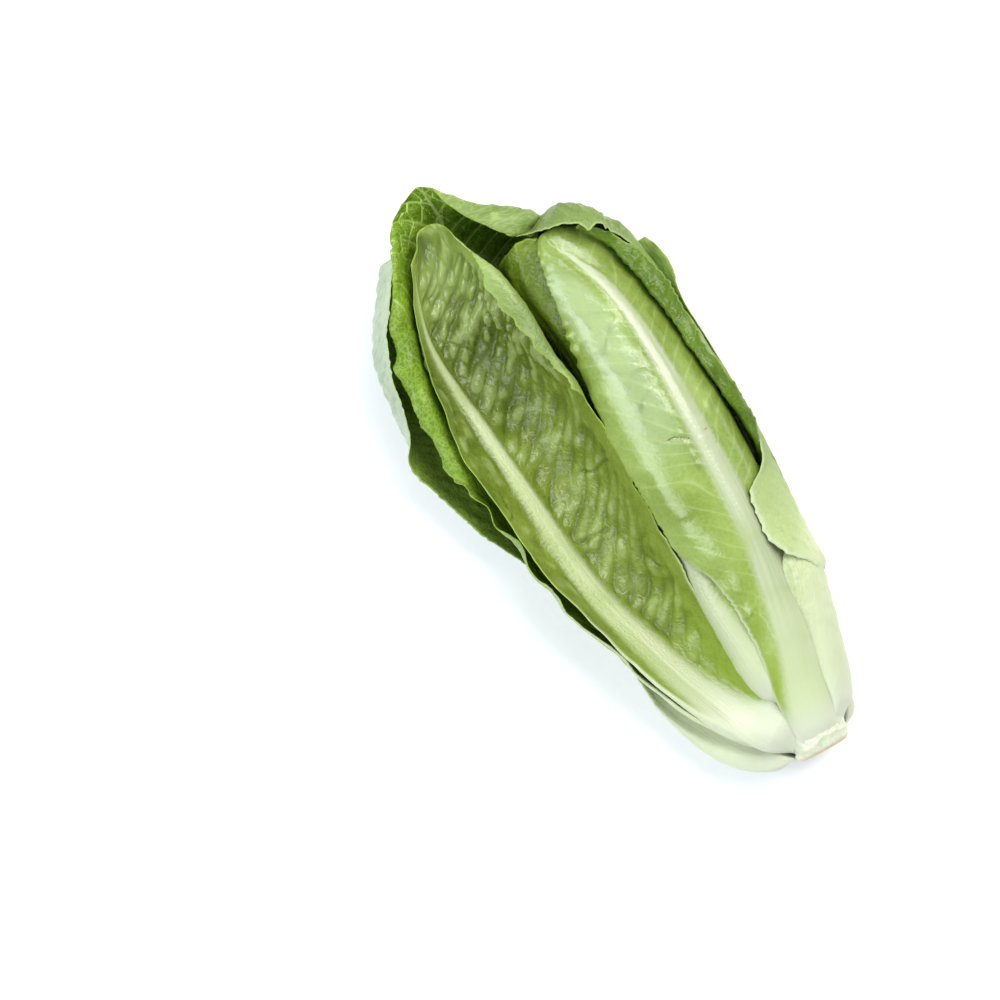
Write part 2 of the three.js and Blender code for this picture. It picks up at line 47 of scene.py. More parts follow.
# Lengths are in millimetres until a mesh is made: x to the right, y from the cut stem to the tips, z up.
SHIFT = (29.1, -147.8, 0)  # from the cut stem's own origin to the part's
MILLIMETRES = 1000  # in a metre
STEM_LENGTH = 54
HEART_RADIUS = 26.5
FOOT_SINK = .5  # how deep the middle of a leaf's foot lies in the stem's side, which it grows out of
FOOT_LIFT = .85  # how far a leaf wrapped round the heart starts outside the stem's side
FLARE = 16  # the length along the head over which such a leaf swings out

# ---- the head's axis, and the heart's thickness along it as a share of its greatest ----
AXIS_X = {0: -2.5, 50: 3.5, 100: 6, 150: 5.5, 200: 4, 230: 2, 250: -1, 298: -6}
AXIS_Z = {0: 22.5, 50: 33, 100: 38, 150: 38.8, 200: 38.5, 250: 37.7, 298: 36}
SWELL = {0: .42, 30: .55, 50: .68, 75: .79, 100: .89, 125: .95, 150: 1, 170: 1, 200: .96, 225: .88,
         240: .81, 250: .74, 260: .62}
STEM_PROFILE = {0: 12.5, 10: 13.25, 28: 9.75, 44: 5.6, 54: 1.5}


def along(profile, y):
    """The value at y between the values of a profile, which are kept by their places."""
    return np.interp(y, list(profile), list(profile.values()))


def polar(y, degrees, r):
    """A point at an angle round the head's axis: 0 degrees is +X, 90 is up."""
    a = math.radians(degrees)
    return [along(AXIS_X, y) + r * math.cos(a), y, along(AXIS_Z, y) + r * math.sin(a)]


def wrap_radius(y, foot, full):
    """Radius of a leaf wrapped round the heart: full at its thickest, and on the stem at its foot."""
    swell = along(SWELL, y)
    free = HEART_RADIUS * swell + full - HEART_RADIUS if full > HEART_RADIUS else full * swell
    start = along(STEM_PROFILE, foot) + FOOT_LIFT
    return start + (free - start) * (1 - math.exp(-(y - foot) / FLARE))


def foot_row(y, angles):
    return [polar(y, a, along(STEM_PROFILE, y) - FOOT_SINK) for a in angles]


def ring(y, radii, angles):
    """A row round the axis, from one place and radius or a list of them, and a list of angles."""
    y, radii = (np.broadcast_to(values, len(angles)) for values in (y, radii))
    return [polar(*point) for point in zip(y, angles, radii)]


def wrapped(foot, full):
    """Rows of a leaf wrapped round the heart. The last points may stand out from it, in a lip."""
    def wrap_row(y, angles, *lip):
        r = wrap_radius(y, foot, full)
        return ring(y, [r] * (len(angles) - len(lip)) + [r + out for out in lip], angles)
    return wrap_row


def row(y, xs, zs):
    """A row of points from one y or a list of them, and a list each of x and z."""
    return [list(point) for point in zip(xs, np.broadcast_to(y, len(xs)), zs)]


def inner_net(azimuth, foot, full, tip, spans, swell):
    """A leaf hidden inside the heart: the azimuth of its rib, its foot, full radius and tip, its
    half-spans in degrees at foot, middle and tip, and how far its middle swells out."""
    net = []
    for i in range(7):
        t = i / 6
        share = t ** 1.15
        span = along({0: spans[0], .45: spans[1], .8: spans[1], 1: spans[2]}, share)
        points = []
        for s in (-1, -.6, -.2, .2, .6, 1):
            y = foot + (tip - foot) * share - 14 * abs(s) ** 2.4 * t ** 3
            out = swell * math.cos(s * math.pi / 2) ** 2 * math.sin(math.pi * min(1, t * 1.1))
            r = (wrap_radius(y, foot, full) + out) * (1 - .1 * t ** 6)
            points.append(polar(y, azimuth + s * span, r))
        net.append(points)
    return net


# ---- the leaves' nets: rows from foot to tip, each from margin to margin ----
# Lowest left leaf: lies on the table with its left margin turned up.
LEFT_UNDER = [
    foot_row(2, [178, 192, 208, 224, 238, 250]),
    row(9, [-34, -31.5, -28, -23, -17, -8], [21, 16.5, 12, 8.5, 6, 4.2]),
    row(22, [-46.5, -43, -37.5, -29.5, -19, -5], [22, 16.5, 11.5, 7, 3, 1.5]),
    row(50, [-57.5, -53.5, -46.5, -36, -21, 0], [21, 15.5, 10, 4.5, 1, .5]),
    row(85, [-62, -58, -50, -38, -20, 7], [17, 11.5, 6.5, 2.2, .5, .5]),
    row(120, [-73, -67, -57, -40, -16, 11], [22, 13, 6, 1.2, .5, .5]),
    row(152, [-87, -76, -62, -41, -14, 13], [27, 15, 6, 1.2, .5, .5]),
    row(190, [-100.5, -88, -69, -43, -16, 11], [29, 16, 7, 1.2, .5, .5]),
    row(203, [-94.5, -95, -76, -46, -19, 8], [40, 24, 8, 1.5, .5, .6]),
    row(218, [-89.5, -95, -81, -50, -22, 5], [46, 33, 12, 2, .5, .8]),
    row([243, 245, 248, 249, 246, 239], [-83, -90, -78, -51, -29, -5], [49.5, 37, 17, 7, 3.5, 3]),
    row([276, 275.5, 273.5, 272.5, 268, 258], [-60, -68, -67, -51, -34, -14], [53, 48, 36, 20, 11, 7]),
]

# Left outer leaf: cups the open leaf from below. Its left margin turns out in a lip, and its tip's right
# side folds over.
LEFT_OUTER = [
    foot_row(6, [172, 179, 187, 196, 207, 220, 234, 244, 252]),
    ring(12, 21.2, [181, 187, 194, 203, 213, 224, 235, 245, 253]),
    row(20, [-32.6, -31, -29, -26, -22.5, -18.5, -15.5, -12.5, -10],
        [27.5, 24.5, 20.5, 16, 12.5, 10, 8.5, 8, 8]),
    row(32, [-40.6, -39.6, -37, -33, -28, -22.5, -18.5, -15, -12],
        [34, 30, 24.5, 18, 13, 10, 8.5, 8, 8]),
    row(50, [-51, -51, -48.5, -42.5, -35, -27, -21, -16.5, -13],
        [39.5, 35, 28, 19, 12.5, 9.5, 8, 7.5, 7.5]),
    row(85, [-62.8, -64, -61, -53, -43, -32, -24, -18, -13], [43, 36, 27, 17, 11, 8, 6.5, 6, 6]),
    row(120, [-72.4, -73.6, -70, -60, -47, -34, -25, -18, -13],
        [44, 37, 26, 15.5, 9.5, 7, 6, 5.5, 5.5]),
    row(152, [-78.4, -79, -76, -65, -50, -35, -25, -18, -13],
        [44.5, 38.5, 27, 15.5, 9.5, 7, 6, 5.5, 5.5]),
    row(170, [-82.5, -80.5, -77.5, -67, -51, -35, -25, -18, -13],
        [44, 42, 34, 17.5, 10, 7.5, 6.5, 6, 6]),
    row(182, [-89, -84.5, -79, -69, -52, -35, -25, -18, -13],
        [40.5, 43.5, 40.5, 20, 11, 7.5, 6.5, 6, 6]),
    row(213, [-90.5, -85, -78, -71.5, -54, -37, -26, -19, -13], [42.5, 46.5, 43.5, 23, 13, 9, 8, 8, 8]),
    row(236, [-86, -80.5, -74, -68.5, -54, -38, -27, -19, -13],
        [45, 48.5, 46.5, 28, 17, 11.5, 10, 9.5, 9.5]),
    row([256, 258, 259, 260, 262, 262, 261.5, 260, 259.5], [-76, -73, -68.5, -63, -52, -37, -22, -6, 3],
        [46.5, 50.5, 49, 39, 27, 18, 13.5, 14, 22]),
    row([267, 269, 270, 272, 275, 275, 270, 262, 256.5],
        [-68.5, -66.5, -63.5, -59, -50, -37, -18, 2.5, -13], [49, 51, 50, 42, 31, 24.5, 25, 42, 50]),
    row([277, 279, 280.5, 283, 285.5, 286, 282.5, 277.5, 275.5],
        [-62.5, -61.5, -59, -55, -47.5, -37, -28, -18.5, -28],
        [50.5, 51.5, 50.5, 45, 38.5, 34, 38, 49, 53]),
    row([285, 287.5, 289.5, 292, 294, 294.5, 291.5, 287.5, 286],
        [-59.5, -57.5, -54.5, -50.5, -45, -38, -33, -28.5, -33.5],
        [51.5, 51, 49.5, 46.5, 43.5, 41.5, 43, 49, 52]),
    row([290, 291.8, 293.3, 295, 296.7, 297.5, 296, 293.5, 292.5],
        [-55, -52, -49, -46, -42.5, -39.5, -36.5, -33.5, -35],
        [51, 50, 48.5, 47, 46, 45.5, 46.5, 49.5, 51.5]),
]

# Open leaf: a channel that shows its inner side. Its right half climbs the heart's flank to a ridge, and
# from half-way up its margin falls back over the channel.
OPEN_LEAF = [
    row([3, 3.6, 4.4, 5.4, 6.6, 8, 9.6, 11.6, 14],
        [-11.4, -13.6, -14.7, -14.5, -13.3, -11.5, -9.6, -7.6, -5.5],
        [16.4, 19.6, 22.8, 26, 29, 31.4, 33.3, 35, 36.2]),
    row([12, 12.6, 13.4, 14.4, 15.5, 16.7, 18, 19.6, 21.5],
        [-24.5, -23, -21, -18.8, -16.6, -14.4, -12.2, -10.3, -8.8],
        [26.5, 27.8, 29, 30.2, 31.2, 32, 32.8, 33.6, 34.3]),
    row([25, 25.6, 26.4, 27.3, 28.2, 29, 30, 31, 32],
        [-35.5, -33.5, -30.5, -27, -23.6, -20.2, -17, -14.2, -12.2],
        [32.5, 31, 30, 29.4, 29, 29, 29.8, 31.6, 33.6]),
    row(50, [-49, -46.5, -42.5, -37.5, -32, -26.8, -22.4, -19.6, -18.4],
        [41, 34.5, 29, 25.4, 23.8, 24.5, 28, 34, 40]),
    row(80, [-60, -57.5, -53.5, -47, -39, -31.5, -25.6, -21, -18.4],
        [45.5, 37.5, 30.5, 25.5, 22.8, 24.6, 31, 39.5, 48]),
    row(115, [-70, -67, -62, -55, -46, -37, -28.7, -22.4, -18.6],
        [47, 38, 30.5, 25, 22, 23.5, 31.5, 43, 54]),
    row(150, [-75, -71, -65.5, -58, -48, -38, -28.2, -21.8, -18.5],
        [48, 39.5, 32, 26, 22.5, 24, 33.5, 47, 57]),
    row(170, [-77, -73.5, -67.5, -59, -48.5, -37.5, -27.5, -21.4, -18.8],
        [49, 40.5, 32.5, 26.5, 23, 25.5, 36.5, 51, 60.5]),
    row(190, [-78, -75, -69.5, -60, -49, -37.5, -27.5, -21, -27],
        [50, 41.5, 33.5, 28, 24.5, 28.5, 41, 58.5, 61.5]),
    row(213, [-75.5, -73.5, -69.5, -62, -50, -38, -28.5, -22.3, -31.5],
        [50, 42, 34, 29, 26, 31.5, 44, 59.5, 61.5]),
    row(235, [-71, -70, -67, -61, -51, -41, -32, -24.6, -37],
        [48, 42.5, 37, 32, 29, 34, 46, 60.5, 61.5]),
    row(255, [-64.2, -63, -60.5, -55.5, -49, -42, -35.5, -28.5, -37.5],
        [47.5, 44.5, 40, 36, 35.5, 40, 49, 60, 61.5]),
    row([266, 269, 273, 278, 281, 280, 276.5, 271.5, 267.5],
        [-58.5, -57, -53.8, -49.3, -44.5, -40, -37, -34.6, -36.5],
        [50, 49.5, 48.8, 48.5, 49, 51, 54, 58, 59.5]),
]

# Right wrapping leaf: hugs the heart's right flank. It is torn a third of the way up, and above the tear
# its margin turns out in a long lip.
wrap = wrapped(14, 30)
RIGHT_WRAP = [
    foot_row(8, [-60, -36, -12, 8, 26, 40, 52]),
    ring(17, 15.4, [-61, -38, -15, 5, 22, 36, 48]),
    ring(30, [16.3, 16.3, 17.4, 20.6, 21, 18.6, 14.6], [-64, -42, -20, 0, 18, 34, 47]),
    ring(60, [22.1, 22.1, 23.4, 27.2, 27.2, 23.4, 17.6], [-70, -44, -18, 4, 22, 38, 52]),
    ring(80, [24.7, 24.7, 26.2, 29.6, 29.8, 27, 22.6], [-74, -46, -17, 5, 24, 40, 53]),
    wrap(91, [-75, -54, -34, -20, -8, 2, 10]),
    wrap(103, [-76, -63, -50, -40, -33, -28, -24]),
    wrap(116, [-77, -62, -48, -38, -31, -26, -22]),
    wrap(127, [-78, -50, -24, -6, 8, 13, 9], 1.2, 2.6),
    wrap(143, [-78, -48, -20, 0, 17, 21, 11], 2.6, 6.2),
    wrap(163, [-78, -46, -16, 8, 29, 31, 19], 2.8, 6.6),
    wrap(183, [-78, -46, -15, 10, 32, 34, 24], 2.8, 6.4),
    wrap(205, [-77, -46, -15, 10, 34, 36, 24], 3, 7.6),
    wrap(223, [-74, -44, -13, 12, 38, 41, 29], 3.4, 8.8),
    wrap(238, [-70, -42, -12, 14, 44, 48, 39], 3.4, 8),
    ring([236, 243, 247, 248.5, 248, 249.5, 249], [21, 21.5, 22.8, 23.5, 24, 27, 29.5],
        [-55, -28, 0, 30, 60, 64, 56]),
]

# Right hooded leaf: outside the wrapping leaf, with its tip curled up and over the heart's end.
hood = wrapped(9, 33)
RIGHT_HOOD = [
    foot_row(9, [272, 292, 314, 336, 354, 368]),
    ring(15, 17.2, [270, 291, 314, 336, 354, 368]),
    hood(30, [265, 285, 306, 322, 334, 344]),
    hood(60, [258, 281, 305, 321, 331, 339]),
    ring(72, [28.6, 28.6, 28.8, 30.6, 31.6, 30.6], [256, 283, 314, 338, 364, 390]),
    ring(82, [29.8, 29.8, 29.8, 31.2, 30.8, 27.4], [256, 286, 321, 350, 383, 414]),
    ring(93, [30.8, 30.8, 30.8, 31.2, 29.4, 26.1], [256, 289, 323, 355, 392, 423]),
    ring(105, [31.2, 31.2, 31.2, 31.6, 29.6, 26.6], [256, 289, 323, 355, 391, 423]),
    ring(115, [32, 32, 32, 32.2, 30, 27.2], [256, 289, 322, 353, 388, 419]),
    ring(124, [32.6, 32.6, 32.6, 32.8, 31.8, 30.4], [255, 286, 320, 345, 364, 384]),
    hood(150, [255, 287, 322, 346, 361, 374]),
    hood(180, [255, 287, 322, 348, 366, 381]),
    hood(205, [255, 287, 322, 348, 367, 383]),
    row([222, 226, 228, 226, 222, 218], [-5, 6, 22, 31.5, 34, 31.5], [7.5, 7.5, 15, 26, 38.5, 48.5]),
    row([238, 243, 245.5, 243, 236.5, 228.5], [-4.5, 3, 17, 26.5, 31, 28.5],
        [9.5, 10.5, 18, 32.5, 45, 54]),
    row([250, 256, 256.5, 252, 244.5, 236.5], [-6, 0, 12, 21, 26.5, 24], [16, 20, 29, 42, 53, 60.5]),
    row([257, 260.5, 261.5, 258.5, 251, 242], [-3, 0, 7, 15, 21, 20], [31, 38.5, 48, 58.5, 66.5, 68.8]),
    row([256.5, 255, 253.5, 251.5, 247.5, 242], [-14, -8, -1, 6, 12, 15.5],
        [57, 59.5, 64, 67.5, 69, 68.8]),
]

# Lower right leaf: outermost below the right flank, with its tip flared out to the right.
flank = wrapped(4, 36)
RIGHT_UNDER = [
    foot_row(4, [258, 280, 304, 324, 340]),
    ring(10, 19.2, [256, 280, 306, 326, 341]),
    flank(26, [253, 278, 303, 320, 333]),
    flank(60, [252, 278, 304, 321, 333]),
    flank(100, [252, 282, 315, 333, 344]),
    flank(140, [253, 283, 315, 334, 346]),
    flank(175, [254, 284, 316, 335, 347]),
    flank(200, [254, 284, 316, 336, 349]),
    row([203, 208.5, 219, 222, 215], [-3, 13, 28.5, 35.6, 41.2], [4.5, 5, 15.5, 32.5, 35.5]),
    row([205, 214.5, 227.5, 233.5, 227], [3, 17, 29, 34.6, 39.5], [6, 6.5, 17.5, 33.5, 36.5]),
]

# Heart leaf on top: closes the heart from above, with its midrib right of the middle.
top = wrapped(20, HEART_RADIUS)
HEART_TOP = [
    ring(3, 11.4, [20, 40, 60, 80, 100, 118, 134]),
    ring(20, 12.9, [4, 28, 53, 80, 103, 125, 145]),
    ring(33, [14.3] * 5 + [15, 15.8], [-4, 22, 50, 79, 103, 124, 142]),
    ring(45, [16.5] * 5 + [16.9, 17.5], [-8, 20, 46, 74, 97, 116, 133]),
    top(60, [-10, 18, 44, 69, 93, 113, 131]),
    top(78, [-14, 14, 40, 65, 90, 112, 132]),
    ring(95, [23.2] * 4 + [23.4, 23.8, 25], [-16, 12, 38, 63, 92, 118, 144]),
    ring(107, [24.3] * 4 + [24.5, 25.8, 28], [-18, 10, 36, 62, 95, 127, 156]),
    ring(130, [25.4] * 4 + [25.7, 27.6, 30.2], [-20, 10, 36, 62, 94, 124, 150]),
    ring(155, [26.5] * 4 + [26.7, 28.2, 30.2], [-20, 9, 36, 62.5, 94, 125, 150]),
    ring(180, [26.2] * 5 + [26.8, 27.6], [-20, 8, 36, 64, 94, 124, 150]),
    ring(205, 25.2, [-18, 8, 38, 67, 93, 119, 141]),
    ring(225, 23.3, [-14, 12, 44, 74, 92, 112, 131]),
    ring(240, 21.9, [-4, 24, 56, 84, 98, 110, 122]),
    ring([239, 245.5, 249, 251, 250.5, 248.5, 244], [20, 20.5, 21, 21.5, 21.5, 21.5, 21.5],
        [6, 34, 60, 87, 97, 107, 117]),
    ring([241, 247.5, 251, 253.4, 253, 250.6, 246], [17, 17.2, 17.4, 17.6, 17.6, 17.8, 18],
        [8, 34, 60, 87, 97, 107, 117]),
]

# Heart leaf on the left: its midrib shows low on the left, and its pleated top beside the top leaf.
HEART_LEFT = [
    foot_row(25, [94, 112, 132, 153, 172, 192, 210]),
    ring(40, [13.2, 13.4, 15, 18.4, 19, 16.4, 14], [90, 110, 131, 154, 176, 198, 218]),
    ring(60, [15.8, 15.8, 17.4, 21.8, 22.3, 19.2, 16.6], [84, 106, 131, 155, 180, 205, 226]),
    ring(80, [18.6, 18.6, 19.8, 23.9, 24, 20.8, 19.2], [80, 104, 132, 157, 182, 207, 230]),
    ring(100, [20.3, 20.3, 21, 24, 24.4, 21.4, 20.3], [76, 102, 131, 157, 182, 208, 232]),
    ring(125, [22, 22, 22.3, 23.4, 23.7, 22.6, 22], [74, 100, 128, 154, 178, 204, 232]),
    ring(160, 23.1, [72, 98, 126, 152, 177, 204, 232]),
    ring(195, 22.3, [70, 96, 124, 150, 175, 202, 230]),
    ring(215, [20.7, 20.7, 21, 23.6, 23.8, 22.4, 21.4], [70, 95, 123, 148, 171, 198, 226]),
    ring(235, [19.2, 19.2, 20, 25.4, 27, 25, 22], [72, 98, 122, 145, 165, 192, 220]),
    row([246, 251, 255, 255.5, 253.5, 250.5, 245], [4, -2, -8, -14, -20, -25.5, -25],
        [53, 54, 55.5, 55, 52, 47, 38]),
]

# Heart leaf underneath: closes the heart from below, between the flank leaves.
under = wrapped(17, 29.8)
HEART_UNDER = [
    foot_row(17, [204, 222, 241, 260, 280]),
    under(36, [204, 222, 241, 260, 279]),
    under(60, [203, 221, 240, 259, 278]),
    under(90, [202, 220, 240, 259, 277]),
    under(125, [202, 220, 240, 259, 276]),
    under(160, [203, 221, 240, 259, 275]),
    under(195, [206, 223, 241, 259, 275]),
    ring([212, 220, 225, 222, 214], [27, 26.5, 26, 26.3, 27], [214, 227, 241, 255, 269]),
]


# ---- smooth surfaces ----
def spline(points, t):
    """Catmull-Rom curves through points, along their first axis, at the places t."""
    points = np.asarray(points, float)
    i = np.clip(np.floor(t).astype(int), 0, len(points) - 2)
    f = (t - i).reshape((-1,) + (1,) * (points.ndim - 1))
    p0, p1, p2, p3 = (points[np.clip(i + k, 0, len(points) - 1)] for k in (-1, 0, 1, 2))
    return .5 * (2 * p1 + (p2 - p0) * f + (2 * p0 - 5 * p1 + 4 * p2 - p3) * f ** 2
                  + (3 * p1 - p0 - 3 * p2 + p3) * f ** 3)


def surface(net, u, v):
    return spline(spline(np.asarray(net, float).transpose(1, 0, 2), u).transpose(1, 0, 2), v)


def even_places(net, spacing):
    """Places across and along a net whose points come out about evenly spaced."""
    u, v = (np.linspace(0, spans, 24 * spans + 1) for spans in (len(net[0]) - 1, len(net) - 1))
    grid = surface(net, u, v)
    across = np.percentile(np.linalg.norm(np.diff(grid, axis=1), axis=2), 80, axis=0)
    up = np.percentile(np.linalg.norm(np.diff(grid, axis=0), axis=2), 70, axis=1)
    places = []
    for at, steps in ((u, across), (v, up)):
        length = np.concatenate([[0], np.cumsum(steps)])
        evenly = np.linspace(0, length[-1], round(length[-1] / spacing) + 1)
        places.append(np.interp(evenly, length, at))
    return places


def blur(grid, sigma, axis):
    """Gaussian blur of a grid along one axis that keeps its two ends."""
    reach = min(int(3 * sigma) + 1, grid.shape[axis] - 1)
    kernel = np.exp(-.5 * (np.arange(-reach, reach + 1) / sigma) ** 2)
    grid = np.moveaxis(grid, axis, 0)
    start, end = 2 * grid[:1] - grid[reach:0:-1], 2 * grid[-1:] - grid[-2:-reach - 2:-1]
    padded = np.concatenate([start, grid, end])
    mixed = sum(k * padded[i:i + len(grid)] for i, k in enumerate(kernel / kernel.sum()))
    return np.moveaxis(mixed, 0, axis)


def normals(grid):
    n = np.cross(np.gradient(grid, axis=1), np.gradient(grid, axis=0))
    return n / np.maximum(np.linalg.norm(n, axis=2, keepdims=True), 1e-9)


def lengths(grid, axis):
    """Length along a grid's lines from their start."""
    steps = np.linalg.norm(np.diff(grid, axis=axis), axis=2)
    none = np.zeros_like(np.take(steps, [0], axis))
    return np.concatenate([none, np.cumsum(steps, axis=axis)], axis=axis)


def step(low, high, x):
    """0 below low and 1 above high, with a smooth rise between them."""
    f = np.clip((x - low) / (high - low), 0, 1)
    return f * f * (3 - 2 * f)


TABLE = 64  # random numbers along each side of a table, which repeats


def noise(x, y, seed):
    """Smooth noise from -1 to 1 with features about 1 across."""
    table = np.random.default_rng(seed).random((TABLE, TABLE))
    x, y = np.broadcast_arrays(np.asarray(x, float), np.asarray(y, float))
    i, j = np.floor(x).astype(int), np.floor(y).astype(int)
    fx, fy = step(0, 1, x - i), step(0, 1, y - j)
    at = lambda a, b: table[(i + a) % TABLE, (j + b) % TABLE]
    low = at(0, 0) * (1 - fx) + at(1, 0) * fx
    high = at(0, 1) * (1 - fx) + at(1, 1) * fx
    return 2 * (low * (1 - fy) + high * fy) - 1


def cells(x, y, seed):
    """Distance to the nearest wall of a net of cells about 1 across, and each cell's own number."""
    ox, oy, own = np.random.default_rng(seed).random((3, TABLE, TABLE))
    i, j = np.floor(x).astype(int), np.floor(y).astype(int)
    a, b = np.stack([(i + di, j + dj) for di in (-1, 0, 1) for dj in (-1, 0, 1)], 1)
    at = a % TABLE, b % TABLE
    px, py, ids = a + .1 + .8 * ox[at], b + .1 + .8 * oy[at], own[at]
    nearest = np.hypot(px - x, py - y).argmin(0)[None]
    qx, qy = np.take_along_axis(px, nearest, 0), np.take_along_axis(py, nearest, 0)
    apart = np.hypot(px - qx, py - qy)
    wall = (((px + qx) / 2 - x) * (px - qx) + ((py + qy) / 2 - y) * (py - qy)) / np.maximum(apart, 1e-6)
    return np.where(apart < 1e-6, 9, wall).min(0), np.take_along_axis(ids, nearest, 0)[0]


def trim(grid, low, high):
    """Draws in the two sides of each row by the lengths low and high, over the row's last 11 mm."""
    out = grid.copy()
    for j, (line, s) in enumerate(zip(grid, lengths(grid, 1))):
        room = min(11, s[-1] / 2)
        moved = (s + low[j] * np.clip(1 - s / room, 0, 1) ** 2
                 - high[j] * np.clip(1 - (s[-1] - s) / room, 0, 1) ** 2)
        for k in range(3):
            out[j, :, k] = np.interp(moved, s, line[:, k])
    return out


def teeth(at, size, apart, seed):
    """Depth of a toothed edge below its outline: small points of uneven size, with hollows between."""
    if size <= 0:
        return np.zeros_like(at)
    tall = 0
    for share, gap in ((.75, apart), (.25, apart * .29)):
        place = at / gap + .8 * noise(at / gap / 2.3, .5, seed)
        f = place - np.floor(place)
        own = np.random.default_rng(seed + 1).uniform(.02, 1, 97)[np.floor(place).astype(int) % 97]
        tall = tall + share * own * np.minimum(f / .68, (1 - f) / .32) ** .85
    return size * (1.2 - tall + .6 * noise(at / 23, 7.5, seed + 2)
                   + .3 * noise(at / 9, 3.5, seed + 3))


def place(name, data):
    item = bpy.data.objects.new(name, data)
    scene.collection.objects.link(item)
    return item


def add_mesh(name, points, faces, attributes, node, material):
    """A piece that stands for a CAD node, from points in millimetres."""
    mesh = bpy.data.meshes.new(name)
    mesh.from_pydata((points + SHIFT) / MILLIMETRES, [], faces)
    mesh.validate()
    mesh.shade_smooth()
    for key, values in attributes.items():
        mesh.attributes.new(key, "FLOAT", "POINT").data.foreach_set("value", values.astype(np.float32))
    mesh.materials.append(material)
    piece = place(name, mesh)
    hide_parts(node)
    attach(piece, "root")


# ---- one leaf ----
# What shapes a leaf, unless its own call says otherwise. A profile gives a value by share of the
# leaf's length. In calm, groove, ruffle, frill and toothed, the first value is for the leaf's first
# side, where its net's columns start, and the second for the other.
LEAF = dict(
    spacing=1,  # between the mesh's points
    blade={0: 2.2, .12: 1.4, .3: .8, 1: .5},  # thickness
    # The midrib: its width, how far it stands out on each face, the width of its pale band, and what
    # that is multiplied by on the first side.
    rib_width={0: 20, .2: 13, .5: 8, .8: 5, 1: 2}, rib_in={0: 0},
    rib_out={0: 1.5, .3: 1.6, .7: .9, 1: .2},
    white={0: 60, .1: 40, .25: 18, .5: 9, .8: 5, 1: 2}, white_low={0: 1},
    # Side veins: how far apart, how steeply they rise and how they bend, how they stray, how far they
    # stand out, the furrows along them, and how much the blade steps from one to the next.
    veins=9, rise=(.9, .004), stray=.35, vein_out=.35, groove=(.35, .35), shingle=0,
    # Relief: blisters between the veins, soft and fine folds, pleats, creases with their size, lumps,
    # how wide a margin stays calm, and cracks, each from (x, y) to (x, y) with a width and a depth.
    pillow={0: 0, .2: .3, 1: .7}, cell=5, quilt=0,
    soft={0: 0, .2: .3, 1: .45}, soft_size=9, fine=.1, fine_size=3, pleat=0,
    crease=(0, 9), lump=.5, lump_size=24, calm=(0, 0), scars=(),
    # Margins: waves with their length, small waves with their length and start, and teeth.
    ruffle=(0, 0, 24), frill=(0, 0, 7, .3), tip_ruffle=0,
    toothed=(.8, .8), tooth=5, tooth_from=.12, tip_tooth=.8,
    root=11,  # the length over which the foot grows to its thickness
    flank=0)  # how much of the blade's young green the rib takes on its first side, as painted shade
SMOOTHED = 3  # the blur of the net's surface along the leaf
FLUTES = .16


def outline(net, o):
    """The middle surface of a leaf, with toothed margins and tip, and its columns' places in the net."""
    u, v = even_places(net, o.spacing)
    sigma = SMOOTHED / o.spacing
    grid = blur(blur(surface(net, u, v), sigma, 0), .5 * sigma, 1)
    up = lengths(grid, 0)[:, [0, -1]]
    begun = step(o.tooth_from, o.tooth_from + .15, np.linspace(0, 1, len(v)))
    grid = trim(grid, *(teeth(up[:, k], o.toothed[k], o.tooth, o.seed + 10 * k) * begun for k in (0, 1)))
    tip = teeth(lengths(grid, 1)[-1], o.tip_tooth, o.tooth, o.seed + 30)
    return trim(grid.transpose(1, 0, 2), np.zeros_like(tip), tip).transpose(1, 0, 2), u


def turned(far, l, slope):
    """Places along and across lines that rise away from the rib."""
    return (l - slope * far) / math.hypot(1, slope), (far + slope * l) / math.hypot(1, slope)


def measure(grid, u, rib, o):
    """Where each point is on its leaf, in millimetres: s across from the rib and l along it, and how
    far it is from the margin, the side veins and the walls of the cells between them."""
    across = lengths(grid, 1)
    place = along(rib, grid[:, len(u) // 2, 1]) if isinstance(rib, dict) else np.full(len(grid), rib)
    column = np.interp(place, u, np.arange(len(u)))
    rows, low = np.arange(len(grid)), np.floor(column).astype(int)
    high, part = np.minimum(low + 1, len(u) - 1), column - low
    middle = across[rows, low] * (1 - part) + across[rows, high] * part
    spine = grid[rows, low] * (1 - part)[:, None] + grid[rows, high] * part[:, None]
    s = across - middle[:, None]
    l = np.broadcast_to(lengths(spine[:, None], 0), s.shape)
    t, far, right = l / l[-1, 0], np.abs(s), s > 0
    half = np.where(right, (across[:, -1] - middle)[:, None], middle[:, None])
    to_tip = lengths(grid, 0)[-1] - lengths(grid, 0)
    # Side veins leave the rib in turn to left and right, and smaller ones part the blade into cells.
    rise, bend = o.rise
    phase = ((l - (rise * far + bend * far ** 2)) / o.veins + np.where(right, .5, 0)
             + o.stray * noise(l / 17, np.sign(s) * 3 + far / 40, o.seed + 40))
    lean = 1 / np.sqrt(1 + (rise + 2 * bend * far) ** 2)
    to_vein = np.abs(phase - np.round(phase)) * o.veins * lean
    strengths = np.random.default_rng(o.seed + 45).uniform(.35, 1, 200)
    strength = (step(.1, .24, t) * (1 - .75 * np.clip(far / np.maximum(half, 1), 0, 1))
                * step(-1, 3, half - far) * strengths[(np.round(phase) * 2 + right).astype(int) % 200])
    slope = rise + 20 * bend
    q = turned(far, l, slope)[1]
    along_cells, across_cells = phase * o.veins * lean / o.cell, q / o.cell
    wall, own = cells(along_cells + 40, across_cells + np.where(right, 20, 5), o.seed + 50)
    return SimpleNamespace(
        s=s, l=l, t=t, far=far, half=half, to_tip=to_tip, edge=np.minimum(half - far, to_tip),
        width=along(o.rib_width, t) / 2, phase=phase, to_vein=to_vein, strength=strength, slope=slope,
        wall=wall * o.cell, own=own)


